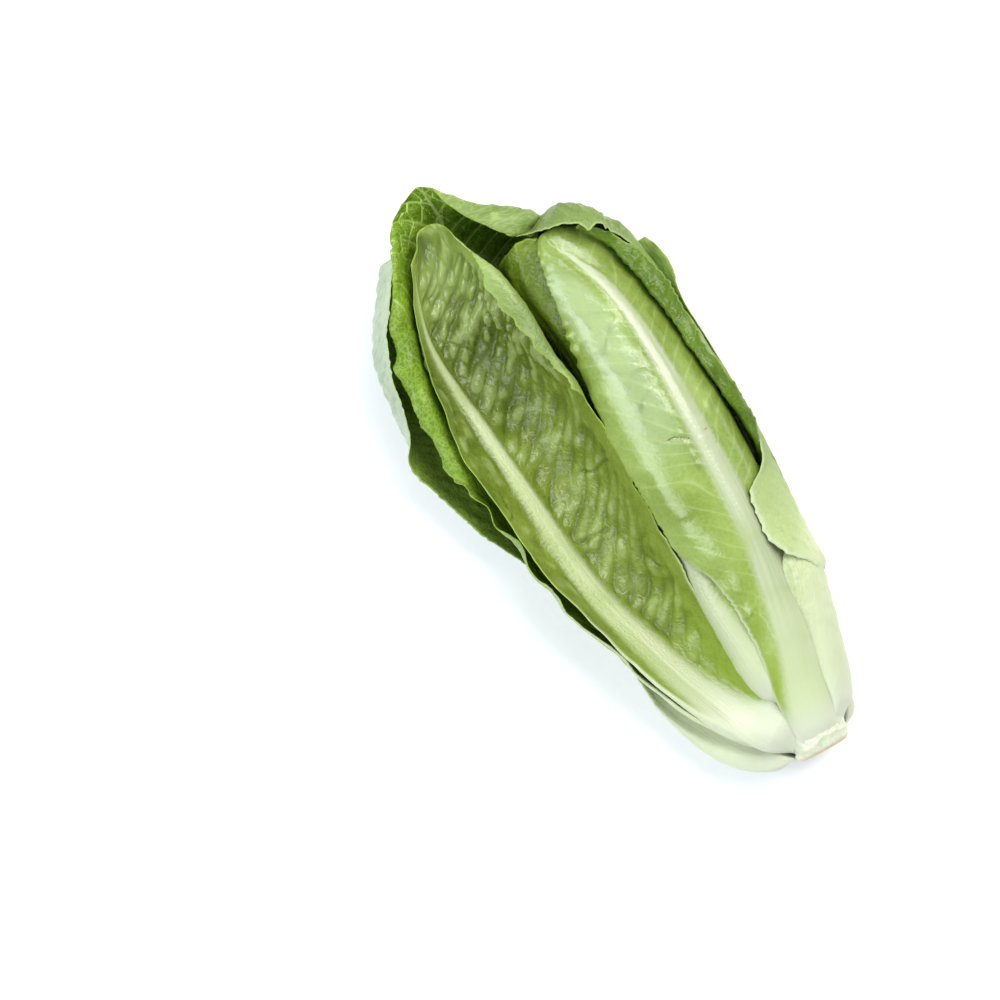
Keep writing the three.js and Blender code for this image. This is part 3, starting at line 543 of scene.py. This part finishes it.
def relief(m, o):
    """How far each point stands out toward the leaf's inner side, and its small-scale part, its hollows
    and rises, which materials use as a mask for painted shade and painted highlight.
    """
    s, l, t, far, to_vein, margin = m.s, m.l, m.t, m.far, m.to_vein, m.half - m.far
    sides = lambda pair: np.where(s > 0, pair[1], pair[0])
    ripple = lambda x, y, k: noise(x, y, o.seed + k)
    begun = step(.1, .24, t)
    calm = sides(o.calm)
    free = step(0, 5, far - m.width) * step(0, 4, m.edge)
    free *= .12 + .88 * step(calm - 3, calm + 5, margin)
    uneven = .5 + ripple(s / 17, l / 23, 55)
    dome = 1 - np.exp(-(np.minimum(m.wall * 1.3, to_vein * .9) / (.34 * o.cell)) ** 2)
    height = along(o.pillow, t) * free * dome * (.6 + .7 * m.own) * (.8 + .5 * uneven)
    p, q = turned(far, l, .4 * m.slope)  # folds lie flatter than the veins
    height += along(o.soft, t) * free * (
        ripple(p / o.soft_size + 5, q / o.soft_size / 1.5 + (s > 0) * 31, 56)
        + .45 * ripple(p / o.soft_size * 2.1 + 7, q / o.soft_size * 1.6, 57))
    height += o.quilt * free * begun * (1 - np.exp(-(to_vein / 2.3) ** 2)) * (.4 + .8 * uneven)
    p, q = turned(far, l, m.slope)
    near = .35 + .65 * step(24, 6, far - m.width) * (.5 + .5 * ripple(s / 15, l / 26, 54))
    height += o.fine * near * free * step(.1, .3, t) * ripple(p / o.fine_size + 3, q / o.fine_size, 58)
    height += o.pleat * free * step(.08, .3, t) * ripple(s / 6.5, l / 75 + s / 90, 59)
    part = m.phase - np.floor(m.phase)
    height -= o.shingle * free * begun * (part ** 2 - .33) * (1 - part ** 24) * (.6 + .8 * uneven)
    height -= sides(o.groove) * free * m.strength * np.exp(-(to_vein / 1.2) ** 2)
    fold = ripple(s / o.crease[1] / 1.3 + 9, l / o.crease[1], 61) + .25 * ripple(s / 6, l / 6, 62)
    height -= (o.crease[0] * free * step(.1, .25, t) * np.exp(-(fold / .13) ** 2)
               * step(.4, 1.1, uneven) * 1.4)
    sigma = 3.2 / o.spacing
    dent = height - blur(blur(height, sigma, 0), sigma, 1)
    lumps = ripple(s / o.lump_size, l / o.lump_size * .7, 60)
    height += o.lump * step(.05, .3, t) * lumps * step(0, 10, far)
    # Waves of the margins and the tip.
    sway = lambda length, stray, gap, k: np.sin(
        2 * math.pi * (l / length + stray * ripple(l / gap, np.sign(s), k)))
    swing = sides(o.ruffle) * np.clip(1 - margin / 16, 0, 1) ** 1.6 * step(.1, .3, t)
    height += swing * (.65 * sway(o.ruffle[2], .6, 37, 70) + .8 * ripple(l / 15, np.sign(s) * 2, 71))
    swing = sides(o.frill) * np.clip(1 - margin / 5, 0, 1) ** 1.4 * step(o.frill[3], o.frill[3] + .12, t)
    height += swing * sway(o.frill[2], .9, 11, 73) * (.5 + .5 * ripple(l / 13, np.sign(s), 74))
    swing = o.tip_ruffle * np.clip(1 - m.to_tip / 15, 0, 1) ** 1.4 * 1.7
    height += swing * ripple(s / 7, m.to_tip / 14, 72)
    return height, dent


def leaf(node, net, rib, material, seed, slot="outer_leaf", **own):
    """A leaf as one closed mesh. rib is its midrib's column in the net, or a profile of it by y."""
    o = SimpleNamespace(**{**LEAF, **own}, seed=seed)
    grid, u = outline(net, o)
    m = measure(grid, u, rib, o)
    s, l, t, far, edge = m.s, m.l, m.t, m.far, m.edge
    height, dent = relief(m, o)
    grid = grid + normals(grid) * height[..., None]
    # The two faces, with the rib, its flutes and the veins.
    n = normals(blur(blur(grid, .7, 0), .7, 1))
    thick = along(o.blade, t)
    rim = np.clip(edge / np.maximum(1.1 * thick, 2.5), 0, 1)
    grown = step(-.15, 1, l / o.root)
    thick = thick * (.3 + .7 * np.sqrt(rim * (2 - rim))) * grown
    ridge = np.exp(-1.1 * (far / m.width) ** 3.2)
    line = np.exp(-(m.to_vein / .75) ** 2) * m.strength * (1 - ridge)
    flutes = FLUTES * ridge * grown * noise(s / 2.1, l / 140, seed + 80) * step(.5, 3, edge)
    flutes += (.6 * FLUTES * ridge * grown * noise(s / 9, l / 2.6, seed + 81)
               * noise(s / 6, l / 14, seed + 82))
    # Old cracks, each a line on the upper side.
    scar = 0 * s
    for x0, y0, x1, y1, wide, deep in o.scars:
        x, y, dx, dy = grid[..., 0] - x0, grid[..., 1] - y0, x1 - x0, y1 - y0
        share = np.clip((x * dx + y * dy) / (dx ** 2 + dy ** 2), 0, 1)
        away = np.hypot(x - share * dx, y - share * dy)
        away += .25 * noise(grid[..., 0] / .9, grid[..., 1] / .9, seed + 85)
        mark = np.exp(-(away / wide) ** 2)
        flutes -= deep * mark
        scar = np.maximum(scar, mark)
    above = thick / 2 + along(o.rib_in, t) * grown * ridge + flutes
    below = thick / 2 + along(o.rib_out, t) * grown * ridge + flutes + o.vein_out * line
    inner, outer = grid + n * above[..., None], grid - n * below[..., None]
    outer[..., 2] = np.maximum(outer[..., 2], 0)
    inner[..., 2] = np.maximum(inner[..., 2], .3 + .5 * thick)
    # The inner grid, the outer grid turned round, and the rim between them.
    index = np.arange(s.size).reshape(s.shape)
    quads = np.stack([index[:-1, :-1], index[:-1, 1:], index[1:, 1:], index[1:, :-1]], -1).reshape(-1, 4)
    loop = np.concatenate([index[0, :-1], index[:-1, -1], index[-1, :0:-1], index[:0:-1, 0]])
    after = np.roll(loop, -1)
    around = np.stack([after, loop, loop + s.size, after + s.size], -1)
    faces = np.concatenate([quads, quads[:, ::-1] + s.size, around]).tolist()
    pale = np.maximum(along(o.white, t) / 2, .02) * np.where(s < 0, along(o.white_low, t), 1)
    attributes = {
        "leaf_s": s, "leaf_l": l, "leaf_t": t, "phase": m.phase, "veins": m.strength,
        "wall": np.minimum(m.wall, 4), "rib": np.exp(-1.2 * (far / pale) ** 2.6), "edge": edge,
        "scar": scar, "dent": np.clip(dent, -1, 1),
        # flank: painted shade on the rib's first side
        "flank": o.flank * step(.5, 3.5, -s) * step(.1, .3, t)}
    attributes = {key: np.tile(values.ravel(), 2) for key, values in attributes.items()}
    attributes["inner"] = np.repeat([1, 0], s.size)
    points = np.concatenate([inner.reshape(-1, 3), outer.reshape(-1, 3)])
    add_mesh(node + "_leaf", points, faces, attributes, node, material)


# ---- materials ----
def linear(colour):
    """A screen colour in Blender's linear values."""
    screen = (colour >> 16, colour >> 8 & 255, colour & 255)
    return tuple(((c / 255 + .055) / 1.055) ** 2.4 if c > 10 else c / 255 / 12.92 for c in screen) + (1,)


class Value:
    """A node's output. Sums and products of values make nodes of their own."""

    def __init__(self, nodes, socket):
        self.nodes, self.socket = nodes, socket

    def math(self, operation, other=0):
        return self.nodes.add("Math", {0: self, 1: other}, operation=operation)

    def __add__(self, other):
        return self.math("ADD", other)

    def __sub__(self, other):
        return self.math("SUBTRACT", other)

    def __mul__(self, other):
        return self.math("MULTIPLY", other)

    def step(self, low, high, to_low=0, to_high=1):
        """Goes smoothly from to_low, where the value is low, to to_high, where it is high."""
        values = {"Value": self, "From Min": low, "From Max": high, "To Min": to_low, "To Max": to_high}
        return self.nodes.add("MapRange", values, interpolation_type="SMOOTHSTEP")


class Nodes:
    """A short way to write a material's nodes. Colours are screen colours, as 0xRRGGBB."""

    def __init__(self, name):
        self.material = bpy.data.materials.new(name)
        self.material.use_nodes = True
        self.tree = self.material.node_tree
        self.tree.nodes.clear()

    def add(self, kind, values, output=0, **settings):
        node = self.tree.nodes.new("ShaderNode" + kind)
        for key, value in settings.items():
            setattr(node, key, value)
        for key, value in values.items():
            socket = node.inputs[key]
            if isinstance(value, Value):
                self.tree.links.new(value.socket, socket)
            elif socket.type == "RGBA" and isinstance(value, int):
                socket.default_value = linear(value)
            else:
                socket.default_value = value
        return Value(self, node.outputs[output]) if node.outputs else node

    def attribute(self, name):
        return self.add("Attribute", {}, "Fac", attribute_name=name)

    def mix(self, share, a, b):
        return self.add("Mix", {0: share, 6: a, 7: b}, 2, data_type="RGBA")

    def vector(self, x, y, z):
        return self.add("CombineXYZ", {0: x, 1: y, 2: z})

    def noise(self, vector, scale, detail=3, rough=.5):
        values = {"Vector": vector, "Scale": scale, "Detail": detail, "Roughness": rough}
        return self.add("TexNoise", values)

    def cells(self, vector, scale, feature="F1", random=1):
        values = {"Vector": vector, "Scale": scale, "Randomness": random}
        return self.add("TexVoronoi", values, feature=feature)

    def finish(self, height, distance, values):
        normal = self.add("Bump", {"Strength": 1, "Distance": distance, "Height": height})
        shader = self.add("BsdfPrincipled", {**values, "Normal": normal})
        self.add("OutputMaterial", {"Surface": shader}).is_active_output = True
        return self.material


FOOT = 0xc4c9b2
BASE = 0xc0c8a8
WHITE = (0xbac594, 0xcad3aa)
CREAM = (0xa4af88, 0xb1b998)


def leaf_material(name, seed, inner, outer, young, vein, shade, rib=WHITE, base=BASE, gloss=(.4, .46),
                  veins_show=.35, net_show=.3, tiny_show=.2, young_reach=(.03, .45), see_through=.3,
                  shine=.35, bump=.0005, painted_relief_shading=(0, 0), painted_shade_highlight=0, painted_sheen=0):
    """inner and outer are the blade's two faces, each from dark to light; young is the blade near the
    foot, vein a side vein, shade a hollow, rib the midrib and base the midrib near the foot."""
    n = Nodes(name)
    s, l, t, edge, wall, strong, face, phase = map(n.attribute, (
        "leaf_s", "leaf_l", "leaf_t", "edge", "wall", "veins", "inner", "phase"))
    flat = n.vector(s, l, seed * 7.3)
    broad, fine = n.noise(flat, .045, 3), n.noise(flat, .5, 4, .6)
    mottle = (broad * .7 + fine * .3).step(.3, .7)
    blade = n.mix(face, n.mix(mottle, *outer), n.mix(mottle, *inner))
    blade = n.mix(t.step(*young_reach, 1, 0), blade, young)
    blade = n.mix(wall.step(1, 3.2) * .3, blade, shade)
    if painted_shade_highlight:  # painted shade: deeper green two thirds of the way up; painted highlight: a paler tip
        share = t.step(.6, .8, 0, painted_shade_highlight) * t.step(.82, .95, 1, .25) * broad.step(.3, .6, .6, 1)
        blade = n.mix(share, blade, 0x42540e)
        blade = n.mix(t.step(.84, .93, 0, painted_shade_highlight) * t.step(.96, 1, 1, .4), blade, 0x96aa62)
    if painted_sheen:  # painted sheen: a pale band along the second side of the rib, standing in for a highlight
        share = t.step(.5, .64, 0, painted_sheen) * t.step(.88, .98, 1, 0) * s.step(4, 10) * s.step(20, 28, 1, 0)
        blade = n.mix(share, blade, 0xbeceb4)
    # Painted shade in the relief's hollows and a painted highlight on its rises.
    if painted_relief_shading[0]:
        dent = n.attribute("dent")
        blade = n.mix(dent.step(-.55, .02, painted_relief_shading[0], 0), blade, 0x344604)
        blade = n.mix(dent.step(.05, .6, 0, painted_relief_shading[1]), blade, 0xbece8c)
    # Side veins, the net between them, and a fine net too small for the mesh.
    part = (phase - phase.math("ROUND")).math("ABSOLUTE")
    side = part.step(.02, .1, veins_show, 0) * strong.step(.02, .5) * face.step(0, 1, .5, 1)
    blade_on = t.step(.12, .3)
    net = wall.step(.1, .8, net_show, 0) * (t.step(.86, .95, .12, 1) * blade_on) * face.step(0, 1, .4, 1)
    tiny = n.cells(flat, .42, "DISTANCE_TO_EDGE", .9)
    tiny_line = tiny.step(.02, .12, tiny_show, 0) * blade_on
    blade = n.mix(side.math("MAXIMUM", net.math("MAXIMUM", tiny_line)), blade, vein)
    blade = n.mix(edge.step(.2, 1.4, .5, 0), blade, young)
    blade = n.mix(edge.step(.4, 2.6, 1, 0) * t.step(.2, .5, .9, 0), blade, BASE)
    # The midrib, with fibres along it and its edges drawn out along the veins.
    fibre = n.noise(n.vector(s * 1.3, l * .02, seed), 1, 3, .6)
    shown = n.attribute("rib") + (fine - .5) * .25 + side * .25
    rib_colour = n.mix(fibre.step(.3, .7), *rib)
    rib_colour = n.mix(broad.step(.5, .75, 0, .3), rib_colour, young)
    rib_colour = n.mix((t + broad * .1).step(.1, .42, .9, 0), rib_colour, base)
    # Painted shade: the rib's first side tinted toward the blade's young green.
    rib_colour = n.mix(n.attribute("flank"), rib_colour, young)
    colour = n.mix(shown.step(.2, .85) * t.step(.82, 1, 1, .5), blade, rib_colour)
    colour = n.mix(l.step(8, 26, 1, 0), colour, FOOT)
    colour = n.mix(n.attribute("scar").step(.35, .9, 0, .85), colour, 0x5c5c22)
    # Small rusty specks, few and mostly low on the leaf.
    spot = n.cells(flat, .055).step(.03, .07, 1, 0) * n.noise(flat, .02, 0).step(.55, .6)
    colour = n.mix(spot * .5, colour, 0xb08c46)
    rough = fine * .14 + face.step(0, 1, gloss[1] - .07, gloss[0] - .07) - t.step(.8, .9, 0, .18 * painted_shade_highlight)
    relief = tiny.step(0, .3) * (blade_on * .2) + fine * .3 + fibre * shown.step(.3, .8) * .5
    return n.finish(relief, bump, {
        "Base Color": colour, "Roughness": rough, "Subsurface Weight": see_through,
        "Subsurface Radius": (.7, 1, .35), "Subsurface Scale": .0015, "Specular IOR Level": shine})


OPEN = leaf_material(
    "open_leaf_green", 1, inner=(0x62741c, 0x84963c), outer=(0x7c9448, 0x94ac60), young=0x8aa430,
    vein=0x9eb454, shade=0x6a7c22, base=0xc6ccb4, gloss=(.3, .4), shine=.45, veins_show=.12,
    net_show=.06, tiny_show=.08, painted_relief_shading=(.42, .3), painted_shade_highlight=.5)
DEEP = leaf_material(
    "outer_leaf_green", 2, inner=(0x547208, 0x76961a), outer=(0x687e3c, 0x849a58), young=0x7e9a24,
    rib=(0xbed078, 0xccdc8c), vein=0xbed27a, shade=0x56760a, veins_show=.6, net_show=1,
    gloss=(.34, .48), shine=.3)
PALE = leaf_material(
    "lower_leaf_green", 3, inner=(0x5e7622, 0x768e38), outer=(0x9ca992, 0xb4bfaa), young=0x96a860,
    rib=(0xb0b896, 0xc0c6aa), vein=0x9cb06c, shade=0x58721a, base=0xccd3b6, gloss=(.36, .36),
    see_through=.45)
ROLL = leaf_material(
    "wrapping_leaf_green", 4, inner=(0x3e5804, 0x58740c), outer=(0x405a05, 0x5a7610), young=0x8ca448,
    vein=0x88a23c, shade=0x425c06, gloss=(.3, .42), veins_show=.2, net_show=.12, tiny_show=.1)
HOOD = leaf_material(
    "hooded_leaf_green", 5, inner=(0x4c680a, 0x66821c), outer=(0x687e36, 0x7e944c), young=0xb0c084,
    vein=0x8ea25e, shade=0x6e843c, young_reach=(.26, .5), painted_relief_shading=(.3, .3))
TIP = leaf_material(
    "lower_right_leaf_green", 7, inner=(0x96ac5c, 0xacbe74), outer=(0x92a662, 0xa8ba7a),
    young=0x96a868, vein=0xa0b274, shade=0x889c54)
HEART = leaf_material(
    "heart_leaf_green", 6, inner=(0x8ba050, 0xa1b66e), outer=(0x748a2e, 0x8ea450), young=0x8aa230,
    rib=CREAM, vein=0xa8ba76, shade=0x7a9036, base=0xbeca9c, gloss=(.37, .24), veins_show=.6,
    net_show=.1, tiny_show=.1, shine=.6, bump=.00012, painted_relief_shading=(.35, .2), painted_sheen=.3)
FOLD = leaf_material(
    "left_heart_leaf_green", 8, inner=(0x566c0e, 0x708824), outer=(0x4e640a, 0x6a821e), young=0x849c2c,
    rib=CREAM, vein=0x96ac58, shade=0x627a1c, base=0xbec8a0, gloss=(.34, .34), shine=.4,
    young_reach=(.3, .7), net_show=.1, tiny_show=.08, veins_show=.25)


# ---- the cut stem ----
# Ledges of cut-off leaf bases: how far up, at what angle, half how many degrees wide, and how far out.
LEDGES = [(2.6, 200, 62, .9), (5, 30, 45, .8), (9, 300, 65, .9), (4.4, 118, 34, 1), (6.2, 70, 28, .9),
          (14.5, 5, 50, .6)]


def stem(material, turns=200, rows=110, cut_rows=22):
    """A tapered core with ledges near the cut, and a slightly hollow cut face."""
    angle = np.linspace(0, 2 * math.pi, turns, endpoint=False)[None]
    y = (np.linspace(0, 1, rows) ** 1.3 * STEM_LENGTH)[:, None]
    round_x, round_z = np.cos(angle) * 2, np.sin(angle) * 2
    low = step(28, 10, y)
    r = along(STEM_PROFILE, y) - .3 + .45 * low * noise(round_x + 9, round_z + y / 6, 61)
    r = r + .3 * low * noise(round_x * 4 + 20, round_z * 4 + y / 1.5, 62)
    r = r + .8 * step(4, 0, y) * noise(round_x * 1.7 + 5, round_z * 1.7 + 3, 65)
    scar = 0 * r
    for k, (up, middle, wide, out) in enumerate(LEDGES):
        away = (np.degrees(angle) - middle + 180) % 360 - 180
        line = up + 2.4 * (away / wide) ** 2 + .5 * noise(away / 12, k + .5, 63)
        ledge = step(line - 3.2, line, y) * step(line + .7, line - .1, y)
        ledge = ledge * step(1, .55, np.abs(away) / wide)
        r = r + out * ledge
        scar = np.maximum(scar, ledge)
    r = r - 1.1 * step(1.4, 0, y)
    x, z = along(AXIS_X, y) + r * np.cos(angle), along(AXIS_Z, y) + r * np.sin(angle)
    side = np.stack([x, y + 0 * r, z], -1)
    share = (np.arange(1, cut_rows + 1) / (cut_rows + 1))[:, None]
    middle = np.array([AXIS_X[0], 0, AXIS_Z[0]])
    cut = middle + (side[0][None] - middle) * share[..., None]
    saw = .22 * noise(cut[..., 0] / 1.1 + 5, cut[..., 2] / 4.5, 64) * (1 - share ** 8)
    cut[..., 1] = .8 * (1 - share ** 2) + saw
    top = [along(AXIS_X, STEM_LENGTH), STEM_LENGTH + 1.2, along(AXIS_Z, STEM_LENGTH)]
    ends = [[middle[0], .8, middle[2]], top]
    points = np.concatenate([cut.reshape(-1, 3), side.reshape(-1, 3), ends])
    index = np.arange((cut_rows + rows) * turns).reshape(-1, turns)
    after = np.roll(index, -1, 1)
    quads = np.stack([index[:-1], index[1:], after[1:], after[:-1]], -1).reshape(-1, 4)
    first, last = len(points) - 2, len(points) - 1
    fans = np.concatenate([np.stack([np.full(turns, first), index[0], after[0]], -1),
                           np.stack([np.full(turns, last), after[-1], index[-1]], -1)])
    on_cut, on_side = np.ones(cut_rows * turns), np.ones(r.size)
    attributes = {
        "on_cut": np.concatenate([on_cut, 0 * on_side, [1, 0]]),
        "ring": np.concatenate([(share + 0 * angle).ravel(), on_side, [0, 1]]),
        "scar": np.concatenate([0 * on_cut, scar.ravel(), [0, 0]])}
    add_mesh("stem_core", points, quads.tolist() + fans.tolist(), attributes, "stem", material)


def stem_material():
    n = Nodes("stem_flesh")
    at = n.add("TexCoord", {}, "Object")
    x, y, z = (n.add("SeparateXYZ", {0: at}, k) for k in range(3))
    broad, fine = n.noise(at, 90, 3), n.noise(at, 900, 4, .6)
    fibre = n.noise(n.vector(x * 14, y, z * 14), 60, 3, .6)
    side = n.mix(broad.step(.35, .65), 0xc6ccb0, 0xd6dac8)
    side = n.mix(fibre.step(.45, .7) * .3, side, 0xb2c07a)
    side = n.mix(n.attribute("scar").step(.5, .95) * fine.step(.4, .65, 0, .45), side, 0xc8ba84)
    rim = (y + broad * -.003).step(-.1492, -.1471, 1, 0)
    side = n.mix(rim * fine.step(.3, .6, .3, .9), side, 0xcea476)
    # The cut face: pale pith, a ring of vessels, and a drying rim.
    ring = n.attribute("ring") + (broad - .5) * .12
    face = n.mix(ring.step(.3, .62), 0xece4c4, 0xe2cea0)
    face = n.mix(ring.step(.78, .98) * fine.step(.3, .65, .35, .9), face, 0xceaa7a)
    vessels = ring.step(.5, .58) * ring.step(.64, .72, 1, 0) * n.cells(at, 700).step(.2, .45, 1, 0)
    face = n.mix(vessels * .6, face, 0xb08e54)
    face = n.mix(fine.step(.55, .75) * .35, face, 0xbe8c56)
    return n.finish(fine * .5 + fibre * .6, .0006, {
        "Base Color": n.mix(n.attribute("on_cut"), side, face), "Roughness": fine * .2 + .4,
        "Subsurface Weight": .3, "Subsurface Radius": (1, .9, .6), "Subsurface Scale": .0016,
        "Specular IOR Level": .45})


stem(stem_material())


# ---- the leaves ----
FLESHY = {0: 3, .06: 3.6, .14: 2.4, .3: 1, 1: .5}
THICK = {0: 4.5, .04: 6.5, .1: 4.5, .2: 2.2, .32: 1, 1: .5}
leaf("leaf_left_under", LEFT_UNDER, 2, PALE, 11, spacing=1.35, blade=FLESHY, vein_out=.6,
     rib_width={0: 20, .15: 26, .3: 12, .5: 8, .8: 5, 1: 2},
     rib_in={0: 3, .06: 8, .13: 8, .25: 2, .4: 0}, rib_out={0: 3, .3: 3, .7: 1.6, 1: .3},
     white={0: 90, .12: 80, .2: 60, .34: 20, .6: 9, 1: 3},
     pillow={0: 0, .2: .4, 1: 1}, ruffle=(.8, .8, 31), toothed=(1.6, 1), tooth=4)
leaf("leaf_right_under", RIGHT_UNDER, 2, TIP, 12, spacing=1.4, blade=THICK, vein_out=.6,
     white={0: 90, .3: 50, .5: 12, 1: 2}, pillow={0: 0, .25: .1, .5: .6, 1: .9},
     soft={0: 0, .25: .2, .5: .6, 1: .7}, lump=.4, tip_tooth=1.6, tip_ruffle=.7)
leaf("leaf_left_outer", LEFT_OUTER, {6: 3.4, 200: 3.6, 260: 4.6, 280: 5, 297: 5}, DEEP,
     13, spacing=1.15, blade=FLESHY, rib_in={0: 0, .3: .4, 1: .2},
     white={0: 90, .12: 60, .2: 22, .4: 10, .8: 2.6, .9: 2.2, 1: 1.6},
     cell=9, veins=13, pillow={0: 0, .3: .5, 1: 1.2}, ruffle=(2.6, .8, 26),
     toothed=(3.4, 1.4), tooth=9)
leaf("leaf_right_hood", RIGHT_HOOD, 2, HOOD, 14, spacing=1.2, blade=THICK, vein_out=.6,
     rib_width={0: 20, .2: 13, .5: 8, .8: 3, 1: .6},
     white={.24: 120, .3: 60, .37: 12, .8: 1, 1: .1},
     pillow={0: 0, .25: .1, .5: .5, .75: .6, 1: 1.3},
     soft={0: 0, .25: .2, .5: .4, .75: .5, 1: 1.2}, lump=.4, toothed=(.8, 2.4), tip_tooth=1.4,
     tip_ruffle=.8)
leaf("leaf_right_wrap", RIGHT_WRAP, 2, ROLL, 15, spacing=1.1, blade=THICK,
     rib_out={0: 2, .3: 2.4, .5: 1.2, 1: .2}, lump=.2, ruffle=(0, .8, 19),
     white={0: 110, .3: 100, .36: 30, .5: 10, 1: 2}, toothed=(.6, 2), tooth=4.2,
     tooth_from=.38)
leaf("leaf_open", OPEN_LEAF,
     {5: 2.5, 200: 2.45, 215: 2.3, 230: 1.95, 240: 1.6, 250: 1.3, 262: 1.05, 275: 1},
     OPEN, 16, spacing=.8, root=14, flank=.4,
     blade={0: 2, .05: 6.5, .1: 5, .2: 2.2, .35: 1, 1: .5},
     rib_width={0: 36, .15: 20, .34: 14, .62: 9, .85: 5, 1: 1.5},
     rib_in={0: 0, .15: 1.6, .3: 2.8, .7: 2, 1: .2},
     white={0: 90, .06: 60, .12: 34, .2: 24, .34: 18, .5: 13.5, .62: 10.5, .85: 5.5, 1: .5},
     white_low={0: 1, .1: 1.3, .25: 1.2, .4: 1},
     pillow={0: 0, .12: .1, .3: .15, .7: .4, .84: 1.7, .94: 2, 1: .7}, cell=7, quilt=.25,
     soft={0: 0, .12: .7, .3: 1.5, .62: 1.8, .75: 2.8, 1: 2.6}, soft_size=12, fine=.12,
     fine_size=2.4, groove=(-.35, .7), crease=(.8, 17), lump=1.4, lump_size=19, calm=(0, 13),
     ruffle=(.4, .7, 24), toothed=(.9, 3.4), tooth=11, tip_ruffle=.8)
leaf("heart_leaf_under", HEART_UNDER, 2, HEART, 17, "heart_leaf", spacing=1.8, lump=.1)
leaf("heart_leaf_top", HEART_TOP,
     {20: 3.1, 60: 3.25, 130: 3.22, 155: 3.2, 180: 3.08, 205: 3, 225: 2.9, 240: 3, 248: 3.5},
     HEART, 18, "heart_leaf", spacing=.85, blade={0: 2.2, .06: 3, .14: 2, .3: .9, 1: .5},
     rib_width={0: 36, .17: 21, .34: 13, .5: 10, .68: 8, .88: 5, 1: 1},
     rib_out={0: 1, .2: 1.5, .5: 1.3, .8: .9, .92: .3, 1: 0},
     white={0: 60, .07: 30, .13: 21, .22: 17, .34: 15, .5: 13, .68: 10, .88: 6, .96: 1, 1: .1},
     white_low={.3: 2, .45: 1}, veins=8.5, rise=(1, -.007), stray=1, vein_out=.2,
     groove=(-.3, -.2), shingle=.12, pillow={0: 0}, soft={0: 0, .2: -.15, 1: -.3},
     soft_size=8, fine=.03, pleat=.6, crease=(.35, 15),
     scars=[(1, 150.4, 5, 150, .6, .3), (5, 150, 9.6, 146.4, .7, .4), (10.4, 147, 18.5, 146.6, .25, .1)],
     ruffle=(0, .5, 14), frill=(0, 1.4, 6.5, .72), tip_ruffle=1.4,
     toothed=(.4, 1.3), tooth=3, tip_tooth=1.2)
leaf("heart_leaf_left", HEART_LEFT, 3, FOLD, 19, "heart_leaf", lump=.3, pleat=1.9, tip_ruffle=1,
     pillow={0: 0, .2: -.3, 1: -.6},
     white={0: 60, .15: 26, .3: 16, .42: 9, .6: 4, .72: .6, 1: .2})
INNER = [(318, 28, 20.2, 238, (60, 86, 66), 4), (165, 33, 17, 232, (62, 88, 70), .5),
         (20, 38, 13.8, 224, (64, 92, 70), 0), (250, 43, 10.6, 212, (64, 95, 70), 0),
         (120, 48, 7.4, 198, (64, 100, 70), 0)]
for i, shape in enumerate(INNER, 1):
    leaf(f"inner_leaf_{i}", inner_net(*shape), 2.5, HEART, 20 + i, "heart_leaf", spacing=2.4, lump=.1,
         blade={0: 1.2, .2: .7, 1: .5}, rib_out={0: .6, 1: .1}, pillow={0: 0, 1: .2})


# ---- floor, light and camera, in metres ----
TURN = math.radians(-29)  # from the head's +Y to the top of the picture


def plain(name, colour, rough):
    n = Nodes(name)
    at = n.add("TexCoord", {}, "Object")
    tone = n.mix(n.noise(at, 3, 2), colour, tuple(c * .985 for c in colour[:3]) + (1,))
    return n.finish(n.noise(at, 400, 3), .00005, {
        "Base Color": tone, "Roughness": rough, "Specular IOR Level": .2})


def area_light(name, at, aim, size, power, colour):
    light = bpy.data.lights.new(name, "AREA")
    light.shape, light.size, light.size_y = "RECTANGLE", size[0], size[1]
    light.energy, light.color = power, colour
    lamp = place(name, light)
    lamp.location = at
    lamp.rotation_euler = (Vector(aim) - Vector(at)).to_track_quat("-Z", "Y").to_euler()


mesh = bpy.data.meshes.new("floor")
mesh.from_pydata([(-4, -4, 0), (4, -4, 0), (4, 4, 0), (-4, 4, 0)], [], [(0, 1, 2, 3)])
mesh.materials.append(plain("floor_white", (.92, .925, .935, 1), .9))
floor = place("floor", mesh)

world = scene.world or bpy.data.worlds.new("studio")
scene.world = world
world.use_nodes = True
sky = next(n for n in world.node_tree.nodes if n.type == "BACKGROUND")
sky.inputs["Color"].default_value = (.93, .96, 1, 1)
sky.inputs["Strength"].default_value = .65

# A broad soft light and a small one from the top of the picture, and a cool window low on its left.
right = Vector((math.cos(TURN), math.sin(TURN), 0))
up = Vector((-math.sin(TURN), math.cos(TURN), 0))
HEART_AT = (0, 0, .03)
area_light("key", right * .5 + up * .82 + Vector((0, 0, 1.35)), HEART_AT, (1.2, 1.2), 21, (1, .99, .96))
area_light("spark", right * .42 + up * .5 + Vector((0, 0, 1.3)), HEART_AT, (.5, .5), 3.5, (1, 1, 1))
area_light("window", (-.95, .02, .98), (0, .02, .05), (1.1, .75), 13, (.88, .94, 1))

scene.view_settings.view_transform = "Standard"
scene.view_settings.look = "None"

camera = bpy.data.cameras.new("camera")
camera.lens, camera.sensor_width, camera.sensor_fit = 200, 36, "HORIZONTAL"
camera.clip_start, camera.clip_end = .05, 20
view = place("camera", camera)
view.location = (-.0441, .0147, 2.429)
view.rotation_euler = (0, 0, TURN)
bpy.context.scene.camera = view
